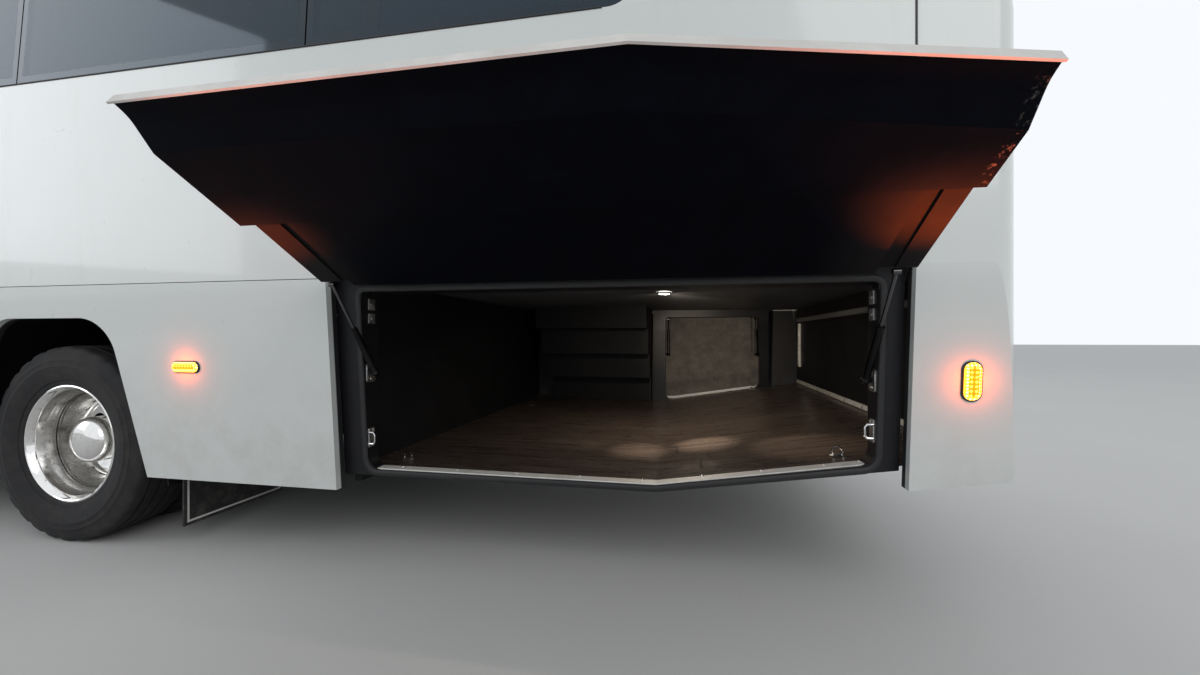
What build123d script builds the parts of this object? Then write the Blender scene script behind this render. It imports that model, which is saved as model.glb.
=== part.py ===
"""A front-engined midi coach, parked with its rear left luggage flap open.

Millimetres. X runs forward, Y to the left and Z up. The origin is on the ground, on the centre line,
under the rear axle.
"""
import math
import os

from build123d import *

# Overall size
HALF_WIDTH = 1200
SKIRT_LEAN = 52
NOSE_X = 6250
NOSE_CORNER_X = 6090
TAIL_X = -3390
TAIL_CORNER_X = -3333
ROOF_Z = 3200
ROOF_EDGE_Z = 3150
WHEELBASE = 4500

# Heights of the panel lines
SKIRT_Z = 296
LOW_Z = 100
BELT_Z = 1028.5
BAND_Z = 1031
WINDOW_Z = 1826
CANT_Z = 2870
CANT_IN = 65
SCREEN_Z = 1290
NOSE_BEND_Z = 1250
TAIL_BEND_Z = 1700
FLOOR_Z = 1100
FLOOR_UNDER_Z = 1040

# Thicknesses
SKIN = 45
WALL = 50
GLASS = 7
POST = 57
GAP = 5

# Stations along the side
KINK_X = -2374
KINK_SLOPE = math.radians(8.7)
BAY_X = (-3070, -1271)
SEAM_X = -3077
FRONT_SEAM_X = 5870
LOCKER_X = (850, 2650)
FRONT_DOOR_X = (4990, 5865)
REAR_DOOR_X = (-2190, -1450)
REAR_RIGHT_FLAP_X = (-3070, -2225)
DOOR_Z = (335, 2864)
LAST_WINDOW_X = -2320

# Door columns and arms on the right: where each column stands, and the way the door lies from it
FRONT_DOOR_PIVOT = (5020, 1)
REAR_DOOR_PIVOT = (-1480, -1)
DOOR_PIVOT_Y = -1088
STAIR_FOOT_Y = -968
REAR_WALL_X = -3275
COLUMN_Z = (700, 1900)
ARM_Z = (860, 1020)

# Wheels
TYRE_R = 398.5
TYRE_W = 235
BEAD_R = 225
TWIN_PITCH = 265
OUTER_TWIN_Y = 1022.5
FRONT_TYRE_Y = 1010
KINGPIN_Y = 880
AXLE_Z = TYRE_R

# Rear luggage flap
FLAP_HINGE = (1208, 1030)
FLAP_OPEN = 122.8
FLAP_LOW = 366
FLAP_SKIN = 12
FLAP_RIDGE = 113
FLAP_STEP_Z = 720
FLAP_END = 84
STRUT_FOOT = (1092, 705)
STRUT_EYE = (1131, 974)
STRUT_SKIN = 6
STRUT_ROD = 200
JAMB_REAR = 61
JAMB_FRONT = 86

PLANES = {
    "x": Plane((0, 0, 0), x_dir=(0, 1, 0), z_dir=(1, 0, 0)),
    "y": Plane((0, 0, 0), x_dir=(1, 0, 0), z_dir=(0, -1, 0)),
    "z": Plane.XY,
}

pieces = {}


def solids_of(*shapes):
    found = []
    for shape in shapes:
        if shape is None:
            continue
        if isinstance(shape, (list, tuple)):
            found += solids_of(*shape)
        else:
            found += list(shape.solids())
    return found


def add(node, *shapes):
    """Keep the solids of one named piece; a second call adds to them."""
    pieces[node] = pieces.get(node, []) + solids_of(*shapes)


def joined(*shapes):
    """Fuse shapes into one piece."""
    items = solids_of(*shapes)
    return items[0].fuse(*items[1:]).clean() if len(items) > 1 else items[0]


def outline(points):
    """A flat face from corners (u, v) or (u, v, radius). A radius too big for its edges is cut back."""
    area = sum(a[0] * b[1] - b[0] * a[1] for a, b in zip(points, points[1:] + points[:1]))
    ordered = points if area > 0 else points[::-1]
    corners = [Vector(p[0], p[1], 0) for p in ordered]
    stretches = []
    for index, point in enumerate(ordered):
        corner = corners[index]
        to_last = corners[index - 1] - corner
        to_next = corners[(index + 1) % len(corners)] - corner
        if len(point) == 2:
            stretches.append((corner, None, corner))
            continue
        half_turn = math.radians(180 - to_last.get_angle(to_next)) / 2
        reach = min(point[2] * math.tan(half_turn), 0.49 * to_last.length, 0.49 * to_next.length)
        radius = reach / math.tan(half_turn)
        first = corner + to_last.normalized() * reach
        last = corner + to_next.normalized() * reach
        inward = ((first + last) * 0.5 - corner).normalized()
        middle = corner + inward * (radius / math.cos(half_turn) - radius)
        stretches.append((first, middle, last))
    edges = []
    for index, (first, middle, last) in enumerate(stretches):
        if middle is not None:
            edges.append(Edge.make_three_point_arc(first, middle, last))
        following = stretches[(index + 1) % len(stretches)][0]
        edges.append(Edge.make_line(last, following))
    return Face(Wire(edges))


def prism(points, axis, start, end, shear=None):
    """A solid with a straight outline along x, y or z. The outline is in (y, z), (x, z) or (x, y)."""
    face = PLANES[axis].location * outline(points)
    if axis == "y":
        return Pos(0, end, 0) * Solid.extrude(face, Vector(0, start - end, 0))
    if axis == "x":
        return Pos(start, 0, 0) * Solid.extrude(face, Vector(end - start, 0, 0))
    direction = Vector(*(shear or (0, 0, end - start)))
    return Pos(0, 0, start) * Solid.extrude(face, direction)


def block(x, y, z):
    """A box from three (low, high) pairs."""
    size = [abs(pair[1] - pair[0]) for pair in (x, y, z)]
    centre = [(pair[0] + pair[1]) / 2 for pair in (x, y, z)]
    return Pos(*centre) * Solid.make_box(*size, Plane((-size[0] / 2, -size[1] / 2, -size[2] / 2)))


def rod(start, end, radius):
    """A round bar between two points."""
    a, b = Vector(*start), Vector(*end)
    return Solid.make_cylinder(radius, (b - a).length, Plane(a, z_dir=b - a))


def ring_y(points, centre):
    """A solid turned about an axis along Y, from (radius, y) corners."""
    face = PLANES["x"].location * outline([(p[1], p[0]) + tuple(p[2:]) for p in points])
    turned = Solid.revolve(face, 360, Axis((0, 0, 0), (0, 1, 0)))
    return Pos(*centre) * turned


def mirrored(shape):
    return [solid.mirror(Plane.XZ) for solid in solids_of(shape)]


def plan_outline(inset):
    """The plan of the body: crowned nose and tail with round corners."""
    side = HALF_WIDTH - inset
    nose = NOSE_X - inset
    tail = TAIL_X + inset
    half = [
        (NOSE_CORNER_X - inset, side, 260 - inset),
        (nose, 520, 1400),
    ]
    rear = [
        (TAIL_CORNER_X + inset, side, 80 - inset if inset < 70 else 20),
        (tail, 500, 1500),
    ]
    return side, half, rear


def body_volume(inset):
    """The outer form of the coach, moved inwards by an inset; open below when the inset isn't 0."""
    side, nose, tail = plan_outline(inset)
    front = [(1500, -side)] + [(p[0], -p[1], p[2]) for p in nose] + nose[::-1] + [(1500, side)]
    back = [(1500, side)] + tail + [(p[0], -p[1], p[2]) for p in tail[::-1]] + [(1500, -side)]
    low = LOW_Z - 20
    top = ROOF_Z + 60
    lean_nose = (NOSE_X - 5967) / (ROOF_Z - NOSE_BEND_Z)
    lean_tail = 120 / (ROOF_Z - TAIL_BEND_Z)
    nose_rise = top - NOSE_BEND_Z
    tail_rise = top - TAIL_BEND_Z
    volume = joined(
        prism(front, "z", low, NOSE_BEND_Z),
        prism(front, "z", NOSE_BEND_Z, top, shear=(-lean_nose * nose_rise, 0, nose_rise)),
        prism(back, "z", low, TAIL_BEND_Z),
        prism(back, "z", TAIL_BEND_Z, top, shear=(lean_tail * tail_rise, 0, tail_rise)),
    )
    foot = side - SKIRT_LEAN * (BELT_Z - LOW_Z) / (BELT_Z - SKIRT_Z)
    half_section = [
        (foot, LOW_Z),
        (side, BELT_Z),
        (side, WINDOW_Z),
        (side - CANT_IN, CANT_Z),
        (side - CANT_IN - 17, ROOF_EDGE_Z - inset, 230 - inset),
    ]
    section = half_section + [(0, ROOF_Z - inset)] + [(-p[0], p[1]) + tuple(p[2:]) for p in half_section[::-1]]
    section_form = prism(section, "x", -3500, 6400)
    slack = 3
    rear = TAIL_X + inset - slack
    front_x = NOSE_X - inset + slack
    roof = ROOF_Z - inset + slack
    lower = [(rear, LOW_Z + 20), (front_x, LOW_Z + 20)]
    if inset == 0:
        lower = [
            (rear, SKIRT_Z + (KINK_X - rear) * math.tan(KINK_SLOPE)),
            (KINK_X, SKIRT_Z),
            (5200, SKIRT_Z),
            (front_x, SKIRT_Z + 64),
        ]
    side_view = lower + [
        (front_x, NOSE_BEND_Z),
        (front_x - lean_nose * (roof - NOSE_BEND_Z), roof, 320 - inset),
        (rear + lean_tail * (roof - TAIL_BEND_Z), roof, 170 - inset),
        (rear, TAIL_BEND_Z),
    ]
    return volume & section_form & prism(side_view, "y", -1300, 1300)


volumes = {}


def volume_at(inset):
    if inset not in volumes:
        volumes[inset] = body_volume(inset)
    return volumes[inset]


def shell(outer, inner):
    """The body skin between two insets."""
    key = (outer, inner)
    if key not in volumes:
        volumes[key] = volume_at(outer) - volume_at(inner)
    return volumes[key]


def arch_outline(centre, extra=0):
    """A wheel arch: straight leaning sides and a round-cornered top."""
    half = [(480 + extra, 130), (309 + extra, 905, 170)]
    return [(centre - u, *rest) for u, *rest in half] + [(centre + u, *rest) for u, *rest in half[::-1]]


def left(shape):
    return shape & block((-4000, 7000), (0, 2000), (0, 4000))


def right(shape):
    return shape & block((-4000, 7000), (-2000, 0), (0, 4000))


def lower_panels():
    """Lower skirts, side bands and the window posts of both sides."""
    skirt = shell(0, SKIN) & block((SEAM_X, FRONT_SEAM_X), (-2000, 2000), (0, BELT_Z))
    for centre, extra in ((0, 0), (WHEELBASE, 25)):
        skirt = skirt - prism(arch_outline(centre, extra), "y", -1300, 1300)
    openings_left = [(BAY_X[0] - 40, BAY_X[1] + GAP), (LOCKER_X[0] - GAP, LOCKER_X[1] + GAP)]
    openings_right = openings_left[1:] + [
        (SEAM_X - 40, REAR_RIGHT_FLAP_X[1] + GAP),
        (REAR_DOOR_X[0] - GAP, REAR_DOOR_X[1] + GAP),
        (FRONT_DOOR_X[0] - GAP, FRONT_DOOR_X[1] + 40),
    ]
    skirt_left, skirt_right = left(skirt), right(skirt)
    for low, high in openings_left:
        skirt_left = skirt_left - block((low, high), (0, 2000), (0, 2000))
    for low, high in openings_right:
        skirt_right = skirt_right - block((low, high), (-2000, 0), (0, 2000))
    add("skirts", skirt_left, skirt_right)

    band = shell(0, WALL) & block((SEAM_X, FRONT_SEAM_X), (-2000, 2000), (BAND_Z, WINDOW_Z))
    quarter = shell(0, WALL) & block((SEAM_X, LAST_WINDOW_X + 110), (-2000, 2000), (WINDOW_Z - 1, CANT_Z))
    side_left = joined(left(band), left(quarter)) - last_window()
    side_right = joined(right(band), right(quarter) & block((SEAM_X, REAR_DOOR_X[0] - GAP), (-2000, 0), (0, CANT_Z)))
    for low, high in ((REAR_DOOR_X[0] - GAP, REAR_DOOR_X[1] + GAP), (FRONT_DOOR_X[0] - GAP, 5900)):
        side_right = side_right - block((low, high), (-2000, 0), (0, CANT_Z))
    lugs = column_lugs(*FRONT_DOOR_PIVOT) + column_lugs(*REAR_DOOR_PIVOT)
    add("side_bands", side_left, joined(side_right, *lugs))


def last_window():
    """Room for the rearmost window on the left, with its round corners."""
    corners = [(LAST_WINDOW_X, WINDOW_Z, 85), (LAST_WINDOW_X, CANT_Z, 70), (-1100, CANT_Z), (-1100, WINDOW_Z)]
    return prism(corners, "y", 0, 1300)


def column_lugs(pivot_x, way):
    """Bearings that carry a door's turning column on the jamb beside it; the door lies the given way from it."""
    lugs = []
    for z in (FLOOR_Z + 10, WINDOW_Z - 60):
        lug = block((pivot_x - 90 * way, pivot_x + 28 * way), (-1300, DOOR_PIVOT_Y + 28), (z, z + 24))
        opening = block((pivot_x - 35 * way, pivot_x + 30 * way), (-1300, -1120), (z - 5, z + 30))
        bearing = Solid.make_cylinder(16.05, 60, Plane((pivot_x, DOOR_PIVOT_Y, z - 10)))
        lugs.append((lug & volume_at(WALL - 2)) - opening - bearing)
    return lugs


PANES_LEFT = [(-2320, -1190), (-1184, 120), (126, 1430), (1436, 2740), (2746, 4050), (4056, 5000), (5006, 5864)]
PANES_RIGHT = [(-1440, 120), (126, 1430), (1436, 2740), (2746, 4050), (4056, 4984)]
POST_HALF = 45


def windows():
    """Bonded side glass and the posts behind it."""
    for panes, keep in ((PANES_LEFT, left), (PANES_RIGHT, right)):
        glass_shell = keep(shell(0, GLASS))
        post_shell = keep(shell(GLASS, POST))
        glass = []
        start = panes[0][0]
        end = panes[-1][1]
        room = block((start, end), (-2000, 2000), (WINDOW_Z, CANT_Z))
        if keep is left:
            room = room - (block((start, -1150), (0, 2000), (WINDOW_Z, CANT_Z)) - last_window())
        posts = post_shell & room
        for low, high in panes:
            glass.append(glass_shell & room & block((low, high), (-2000, 2000), (WINDOW_Z, CANT_Z)))
            hole = block((low + POST_HALF, high - POST_HALF), (-2000, 2000), (WINDOW_Z + 40, CANT_Z - 40))
            posts = posts - hole
        add("fixed_glass", glass)
        add("window_posts", posts)


def roof():
    """Roof skin with cant rails, two hatches and the air unit."""
    skin = shell(0, WALL) & block((-3500, 6400), (-2000, 2000), (CANT_Z, 3400))
    for name, x in (("front", (3900, 4650)), ("rear", (1050, 1800))):
        opening = block((x[0] - GAP, x[1] + GAP), (-305, 305), (3000, 3400))
        skin = skin - opening
        add("roof_hatch_" + name, shell(0, WALL) & block(x, (-300, 300), (3000, 3400)))
    add("roof", skin)
    unit = prism([(-1950, 3100), (-1950, 3310, 90), (-1750, 3375, 200), (-350, 3375, 200), (50, 3290, 120),
                  (120, 3100)], "y", -850, 850)
    section = [(-850, 3000), (-820, 3330, 90), (-600, 3376, 60), (600, 3376, 60), (820, 3330, 90), (850, 3000)]
    unit = unit & prism(section, "x", -2000, 200)
    add("roof_air_unit", unit - volume_at(0))


def nose():
    """Front face, windscreen, its posts, headlamps and the service flap."""
    face = shell(0, WALL) & block((FRONT_SEAM_X, 6400), (-2000, 2000), (0, SCREEN_Z))
    flap_zone = block((6000, 6400), (-620, 620), (860, 1242))
    flap_hole = block((6000, 6400), (-625, 625), (855, 1253))
    lamp_zone = prism([(700, 640), (700, 800, 40), (1010, 850, 60), (1150, 830, 30), (1130, 640)], "x", 5930, 6400)
    lamp_zone = [lamp_zone, *mirrored(lamp_zone)]
    lamps = [shell(0, 40) & zone for zone in lamp_zone]
    for lamp in solids_of(lamps):
        face = face - lamp
    add("lamps", lamps)
    add("front_face", face - flap_hole - block((6100, 6400), (-465, -355), (580, 670)))
    add("front_flap", shell(0, SKIN) & flap_zone)
    screen_zone = block((FRONT_SEAM_X, 6400), (-2000, 2000), (SCREEN_Z, CANT_Z))
    add("windscreen", shell(0, GLASS) & screen_zone)
    posts = shell(GLASS, POST) & screen_zone
    posts = posts - block((FRONT_SEAM_X + 95, 6400), (-1110, 1110), (0, 4000))
    posts = posts & block((FRONT_SEAM_X, FRONT_SEAM_X + 130), (-2000, 2000), (0, 4000))
    add("window_posts", posts)


def tail():
    """Rear cap, rear window, rear hatch and tail lamps."""
    cap = shell(0, SKIN) & block((-3500, SEAM_X), (-2000, 2000), (0, CANT_Z))
    hatch_zone = block((-3500, -3200), (-830, 830), (480, 1400))
    hatch_hole = block((-3500, -3200), (-835, 835), (475, 1411))
    glass_zone = block((-3500, -3150), (-900, 900), (1850, 2760))
    glass_hole = block((-3500, -3150), (-840, 840), (1910, 2700))
    glass = shell(0, GLASS) & glass_zone
    lamp_zone = prism([(930, 700), (930, 1330, 60), (1120, 1330, 40), (1120, 700, 40)], "x", -3500, -3200)
    lamps = [shell(0, 30) & zone for zone in (lamp_zone, *mirrored(lamp_zone))]
    cap = cap - hatch_hole - glass_hole - glass
    for lamp in solids_of(lamps):
        cap = cap - lamp
    add("rear_cap", cap)
    add("fixed_glass", glass)
    add("rear_hatch", shell(0, SKIN) & hatch_zone)
    add("lamps", lamps)


def swung(shape, pivot, angle):
    """Turn a shape about a line along X through (y, z)."""
    axis = Axis((0, pivot[0], pivot[1]), (1, 0, 0))
    return [solid.rotate(axis, angle) for solid in solids_of(shape)]


def strut_stations(x_range):
    """Where the two struts of a rear flap stand, just inside the jambs."""
    return x_range[0] + JAMB_REAR + 20, x_range[1] - JAMB_FRONT - 20


def side_y(z):
    """Half width of the coach at a height below the belt."""
    return HALF_WIDTH - SKIRT_LEAN * (BELT_Z - z) / (BELT_Z - SKIRT_Z)


def along_sill(points, x_range):
    """A section in (y, z) run along the lower edge of a rear flap: level, then climbing behind the kink."""
    face = PLANES["x"].location * outline(points)
    back = KINK_X - x_range[0]
    rise = back * math.tan(KINK_SLOPE)
    out = rise * SKIRT_LEAN / (BELT_Z - SKIRT_Z)
    level = Pos(KINK_X, 0, 0) * Solid.extrude(face, Vector(max(x_range[1] - KINK_X, 1), 0, 0))
    climbing = Pos(KINK_X, 0, 0) * Solid.extrude(face, Vector(-back, out, rise))
    return level, climbing


def flap_form(x_range):
    """A closed rear flap on the left: outer skin, a thick pressed panel inside and a channel above its lip."""
    form = left(shell(0, SKIN)) & block(x_range, (0, 2000), (0, BELT_Z - 2.5))
    wide = (x_range[0] - 60, x_range[1] + 60)
    below = [(900, 150), (1400, 150), (1400, FLAP_LOW), (900, FLAP_LOW)]
    lip = side_y(FLAP_LOW)
    ridge_z = FLAP_LOW + FLAP_RIDGE
    channel = [
        (900, FLAP_LOW - 20),
        (lip - FLAP_SKIN - 1, FLAP_LOW - 20),
        (side_y(FLAP_LOW + 40) - FLAP_SKIN - 2, FLAP_LOW + 40, 90),
        (side_y(ridge_z) - SKIN + 0.5, ridge_z),
        (900, ridge_z),
    ]
    for section in (below, channel):
        for cutter in along_sill(section, wide):
            form = form - cutter
    thin = volume_at(FLAP_SKIN)
    for low, high in ((x_range[0] - 5, x_range[0] + FLAP_END - 4), (x_range[1] - FLAP_END, x_range[1] + 5)):
        form = form - (block((low, high), (0, 2000), (FLAP_STEP_Z, 1100)) & thin)
    for x in strut_stations(x_range):
        form = form - (block((x - 26, x + 26), (0, 2000), (FLAP_STEP_Z, 1100)) & volume_at(STRUT_SKIN))
    shallow = block((x_range[0] + FLAP_END, x_range[1] - FLAP_END), (0, 2000), (FLAP_STEP_Z, 1100))
    return form - (shallow & volume_at(30))


def strut_points():
    """Foot and eye of a flap strut, open, as (y, z)."""
    angle = math.radians(FLAP_OPEN)
    dy, dz = STRUT_EYE[0] - FLAP_HINGE[0], STRUT_EYE[1] - FLAP_HINGE[1]
    eye_open = (
        FLAP_HINGE[0] + dy * math.cos(angle) - dz * math.sin(angle),
        FLAP_HINGE[1] + dy * math.sin(angle) + dz * math.cos(angle),
    )
    return STRUT_FOOT, eye_open


def strut(x, foot, eye):
    """Tube and rod of one gas strut in a plane across the coach."""
    length = math.dist(foot, eye)
    along = ((eye[0] - foot[0]) / length, (eye[1] - foot[1]) / length)

    def at(distance):
        return (x, foot[0] + along[0] * distance, foot[1] + along[1] * distance)

    tube = joined(rod(at(0), at(190), 11), Pos(*at(0)) * Rot(0, 90, 0) * Solid.make_sphere(14))
    bore = rod(at(20), at(195), 5.05)
    end_y, end_z = at(length)[1:]
    eyelet = rod((x - 9, end_y, end_z), (x + 9, end_y, end_z), 8)
    piston = joined(rod(at(length - STRUT_ROD), at(length - 3), 5), eyelet)
    return tube - bore, piston


def luggage_flaps():
    """Rear flaps, mid locker flaps and the struts of the rear flaps."""
    foot, eye = strut_points()
    closed_left = flap_form(BAY_X)
    add("luggage_flap_left", swung(closed_left, FLAP_HINGE, FLAP_OPEN))
    add("luggage_flap_right", mirrored(flap_form(REAR_RIGHT_FLAP_X)))
    struts = [strut(x, foot, eye) for x in strut_stations(BAY_X)]
    add("strut_tubes_left", [pair[0] for pair in struts])
    add("strut_rods_left", [pair[1] for pair in struts])
    struts = [strut(x, STRUT_FOOT, STRUT_EYE) for x in strut_stations(REAR_RIGHT_FLAP_X)]
    add("strut_tubes_right", mirrored([pair[0] for pair in struts]))
    add("strut_rods_right", mirrored([pair[1] for pair in struts]))
    locker = left(shell(0, SKIN)) & block(LOCKER_X, (0, 2000), (0, BELT_Z - 2.5))
    add("locker_flap_left", locker)
    add("locker_flap_right", mirrored(locker))


def kinked(x_rear, x_front, z_low, z_high):
    """Side view of a floor that climbs behind the kink."""
    rise = (KINK_X - x_rear) * math.tan(KINK_SLOPE)
    return [(x_front, z_low), (x_front, z_high), (KINK_X, z_high), (x_rear, z_high + rise),
            (x_rear, z_low + rise), (KINK_X, z_low)]


def portal(x_rear, x_front):
    """The frame round a rear luggage opening on the left."""
    rise = math.tan(KINK_SLOPE)
    outer = [(x_front + 9, 340), (x_front + 9, FLOOR_UNDER_Z), (x_rear - 2, FLOOR_UNDER_Z),
             (x_rear - 2, 340 + (KINK_X - x_rear) * rise), (KINK_X, 340)]
    inner_rear = x_rear + JAMB_REAR
    inner_front = x_front - JAMB_FRONT
    inner = [(inner_front, 362, 50), (inner_front, 987, 30), (inner_rear, 987, 30),
             (inner_rear, 362 + (KINK_X - inner_rear) * rise, 50), (KINK_X, 362)]
    frame = (prism(outer, "y", 1050, 1300) - prism(inner, "y", 1000, 1400)) & volume_at(52)
    rear_strut, front_strut = strut_stations((x_rear, x_front))
    for x in (rear_strut, front_strut):
        frame = frame - block((x - 16, x + 16), (1105, 1300), (930, 1008))
    studs = [rod((inner_rear - 5, *STRUT_FOOT), (rear_strut - 14.5, *STRUT_FOOT), 7),
             rod((inner_front + 5, *STRUT_FOOT), (front_strut + 14.5, *STRUT_FOOT), 7)]
    return joined(frame, *studs)


def luggage_bay():
    """Floor, sill strips, opening frames, bulkhead and lamp of the rear bay."""
    floor = prism(kinked(-3400, BAY_X[1] - 20, 335, 360), "y", -1050, 1050) & volume_at(52)
    stair_gap = block((REAR_DOOR_X[0] - 20, REAR_DOOR_X[1] + 20), (-2000, STAIR_FOOT_Y), (0, 1000))
    add("luggage_floor", floor - stair_gap)
    frame_left, frame_right = portal(*BAY_X), portal(*REAR_RIGHT_FLAP_X)
    add("bay_frames", frame_left, mirrored(frame_right))
    strip = prism(kinked(-3005, -1365, 362, 366), "y", 1058, 1098)
    short = prism(kinked(-3005, -2320, 362, 366), "y", 1058, 1098)
    add("sill_strips", strip - frame_left, mirrored(short - frame_right))
    bulkhead = block((BAY_X[1] - 20, BAY_X[1] + 9), (-1050, 1050), (300, FLOOR_UNDER_Z))
    rear_wall = block((REAR_WALL_X - 15, REAR_WALL_X), (-1075, 1075), (501, FLOOR_UNDER_Z)) & volume_at(52)
    add("bay_bulkhead", bulkhead, rear_wall)
    add("lamps", Pos(-2370, 420, FLOOR_UNDER_Z - 12) * Solid.make_cylinder(26, 12))


STEP_RISE = 180
STEP_GO = 145
STEPS = 4


def stairs(x_range, wall):
    """A stairwell on the right: four steps in sheet, with its side walls."""
    top = [(-1140, 380)]
    y, z = -1140, 380
    for _ in range(STEPS):
        y += STEP_GO
        top.append((y, z))
        z += STEP_RISE
        top.append((y, z))
    top[-1] = (y, FLOOR_UNDER_Z)
    below = [(u + 22, v - 25) for u, v in top[::-1]]
    below[0] = (y + 22, FLOOR_UNDER_Z)
    below[-1] = (-1140, 355)
    tread = prism(top + below, "x", x_range[0], x_range[1])
    cheek = below[::-1] + [(-1140, FLOOR_UNDER_Z)]
    walls = [prism(cheek, "x", x_range[0] - wall, x_range[0]), prism(cheek, "x", x_range[1], x_range[1] + wall)]
    return joined(tread, *walls) & volume_at(52)


def cabin():
    """Saloon floor, stairwells, dash, steering wheel, seats and luggage racks."""
    floor = block((-3400, 5850), (-1300, 1300), (FLOOR_UNDER_Z, FLOOR_Z)) & volume_at(WALL)
    for x_range in (REAR_DOOR_X, (FRONT_DOOR_X[0], 5900)):
        floor = floor - block((x_range[0], x_range[1]), (-1300, -560), (1000, 1200))
    add("saloon_floor", floor)
    add("stairs", stairs((REAR_DOOR_X[0] + 2, REAR_DOOR_X[1] - 2), 18))
    add("stairs", stairs((FRONT_DOOR_X[0] + 8, FRONT_DOOR_X[1] - 60), 13))
    dash = prism([(5560, 1100), (5560, 1420, 60), (5760, 1530, 80), (5990, 1400), (5990, 1100)], "y", -560, 1020)
    dash = dash & volume_at(POST + 3)
    wheel = Solid.make_torus(225, 14)
    hub = Solid.make_cylinder(60, 30, Plane((0, 0, -15)))
    spokes = [Rot(0, 0, angle) * Pos(115, 0, 0) * Solid.make_box(230, 26, 14, Plane((-115, -13, -7)))
              for angle in (0, 120, 240)]
    column = rod((0, 0, -10), (0, 0, -330), 32)
    steering = joined(wheel, hub, column, *spokes)
    placed = Pos(5430, 640, 1640) * Rot(0, -28, 0) * steering
    add("dash", joined(dash, placed))
    rack = prism([(800, 2700), (1075, 2650), (1075, 2690), (830, 2740), (800, 2740)], "x", -2900, 4700)
    brackets = [block((x, x + 40), (860, 1000), (2715, 3160)) & volume_at(WALL) for x in range(-2600, 4700, 1250)]
    left_rack = joined(rack, *brackets)
    add("luggage_racks", left_rack, mirrored(left_rack))


def solid_union(items):
    return joined(*items)


TOW_BAR_Y = (-430, -390)
ROWS_LEFT = [3850, 3080, 2310, 1540, 770, 0, -770, -1540, -2310]
ROWS_RIGHT = [3850, 3080, 2310, 1540, 770, 0, -770]
SEAT_Z = 1530
PAIR_Y = (250, 1110)
BENCH_X = -2825


def seat_side(x, y):
    """Frame, cushion and back of a pair of seats on the left, facing forward."""
    mid = (y[0] + y[1]) / 2
    frame = joined(
        block((x - 180, x + 160), (y[0] + 20, y[1] - 20), (SEAT_Z - 150, SEAT_Z - 115)),
        block((x - 40, x + 40), (mid - 60, mid + 60), (FLOOR_Z, SEAT_Z - 150)),
    )
    cushion = prism([(x - 215, SEAT_Z - 114), (x - 215, SEAT_Z - 20, 30), (x + 235, SEAT_Z, 50),
                     (x + 235, SEAT_Z - 114, 30)], "y", y[0], y[1])
    back = prism([(x - 222, SEAT_Z - 90), (x - 390, 2210, 40), (x - 310, 2225, 40), (x - 218, SEAT_Z + 60),
                  (x - 218, SEAT_Z - 90)], "y", y[0], y[1])
    return frame, cushion, back


def seats():
    frames, cushions, backs = [], [], []
    for rows, flip in ((ROWS_LEFT, False), (ROWS_RIGHT, True)):
        for x in rows:
            trio = seat_side(x, PAIR_Y)
            for target, solid in zip((frames, cushions, backs), trio):
                target += mirrored(solid) if flip else solids_of(solid)
    bench = seat_side(BENCH_X, (-1080, 1080))
    for target, solid in zip((frames, cushions, backs), bench):
        target += solids_of(solid)
    for target, solid in zip((frames, cushions, backs), seat_side(5010, (430, 900))):
        target += solids_of(solid)
    add("seat_frames", frames)
    add("seat_cushions", cushions)
    add("seat_backs", backs)


def door(name, x_range, hinge_x, way, reach):
    """A swing door on the right: leaf, its glass and the arm with its column."""
    zone = block(x_range, (-2000, 0), DOOR_Z)
    leaf = right(shell(0, SKIN)) & zone
    glass_zone = block((x_range[0] + 55, x_range[1] - 55), (-2000, 0), (1130, DOOR_Z[1] - 60))
    glass = right(shell(0, GLASS)) & glass_zone
    hole = block((x_range[0] + 85, x_range[1] - 85), (-2000, 0), (1160, DOOR_Z[1] - 90))
    leaf = leaf - glass - hole
    pivot = (hinge_x, DOOR_PIVOT_Y)
    column = Solid.make_cylinder(16, COLUMN_Z[1] - COLUMN_Z[0], Plane((*pivot, COLUMN_Z[0])))
    arms, ears, pins, holes = [], [], [], []
    knuckle = (pivot[0] + reach * way, pivot[1])
    path = [pivot, (pivot[0] + 63 * way, pivot[1] + 112), knuckle]
    for z in ARM_Z:
        for a, b in zip(path, path[1:]):
            arms.append(rod((*a, z), (*b, z), 13))
        arms.append(Pos(*path[1], z) * Solid.make_sphere(13))
        arms.append(Solid.make_cylinder(18, 44, Plane((*knuckle, z - 22))))
        holes.append(Solid.make_cylinder(8.05, 200, Plane((*knuckle, z - 100))))
        pins.append(Solid.make_cylinder(8, 70, Plane((*knuckle, z - 35))))
        for low in (z - 35, z + 25):
            ears.append(block((knuckle[0] - 22, knuckle[0] + 22), (-1150, knuckle[1] + 18), (low, low + 10)))
    plate = block((knuckle[0] - 60, knuckle[0] + 60), (-1300, -1125), (ARM_Z[0] - 50, ARM_Z[1] + 50)) & volume_at(SKIN)
    arm = joined(column, *arms)
    for hole in holes:
        arm = arm - hole
    add(name + "_leaf", joined(leaf, plate, *ears, *pins))
    add(name + "_glass", glass)
    add(name + "_arm", arm)


def rubber(centre_y, centre_x):
    half = TYRE_W / 2
    profile = [(BEAD_R, -80), (BEAD_R + 20, -84), (BEAD_R + 70, -half, 40), (TYRE_R - 40, -half + 8, 60),
               (TYRE_R, -half + 35, 18), (TYRE_R, half - 35, 18), (TYRE_R - 40, half - 8, 60),
               (BEAD_R + 70, half, 40), (BEAD_R + 20, 84), (BEAD_R, 80)]
    return ring_y(profile, (centre_x, centre_y, AXLE_Z))


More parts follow.
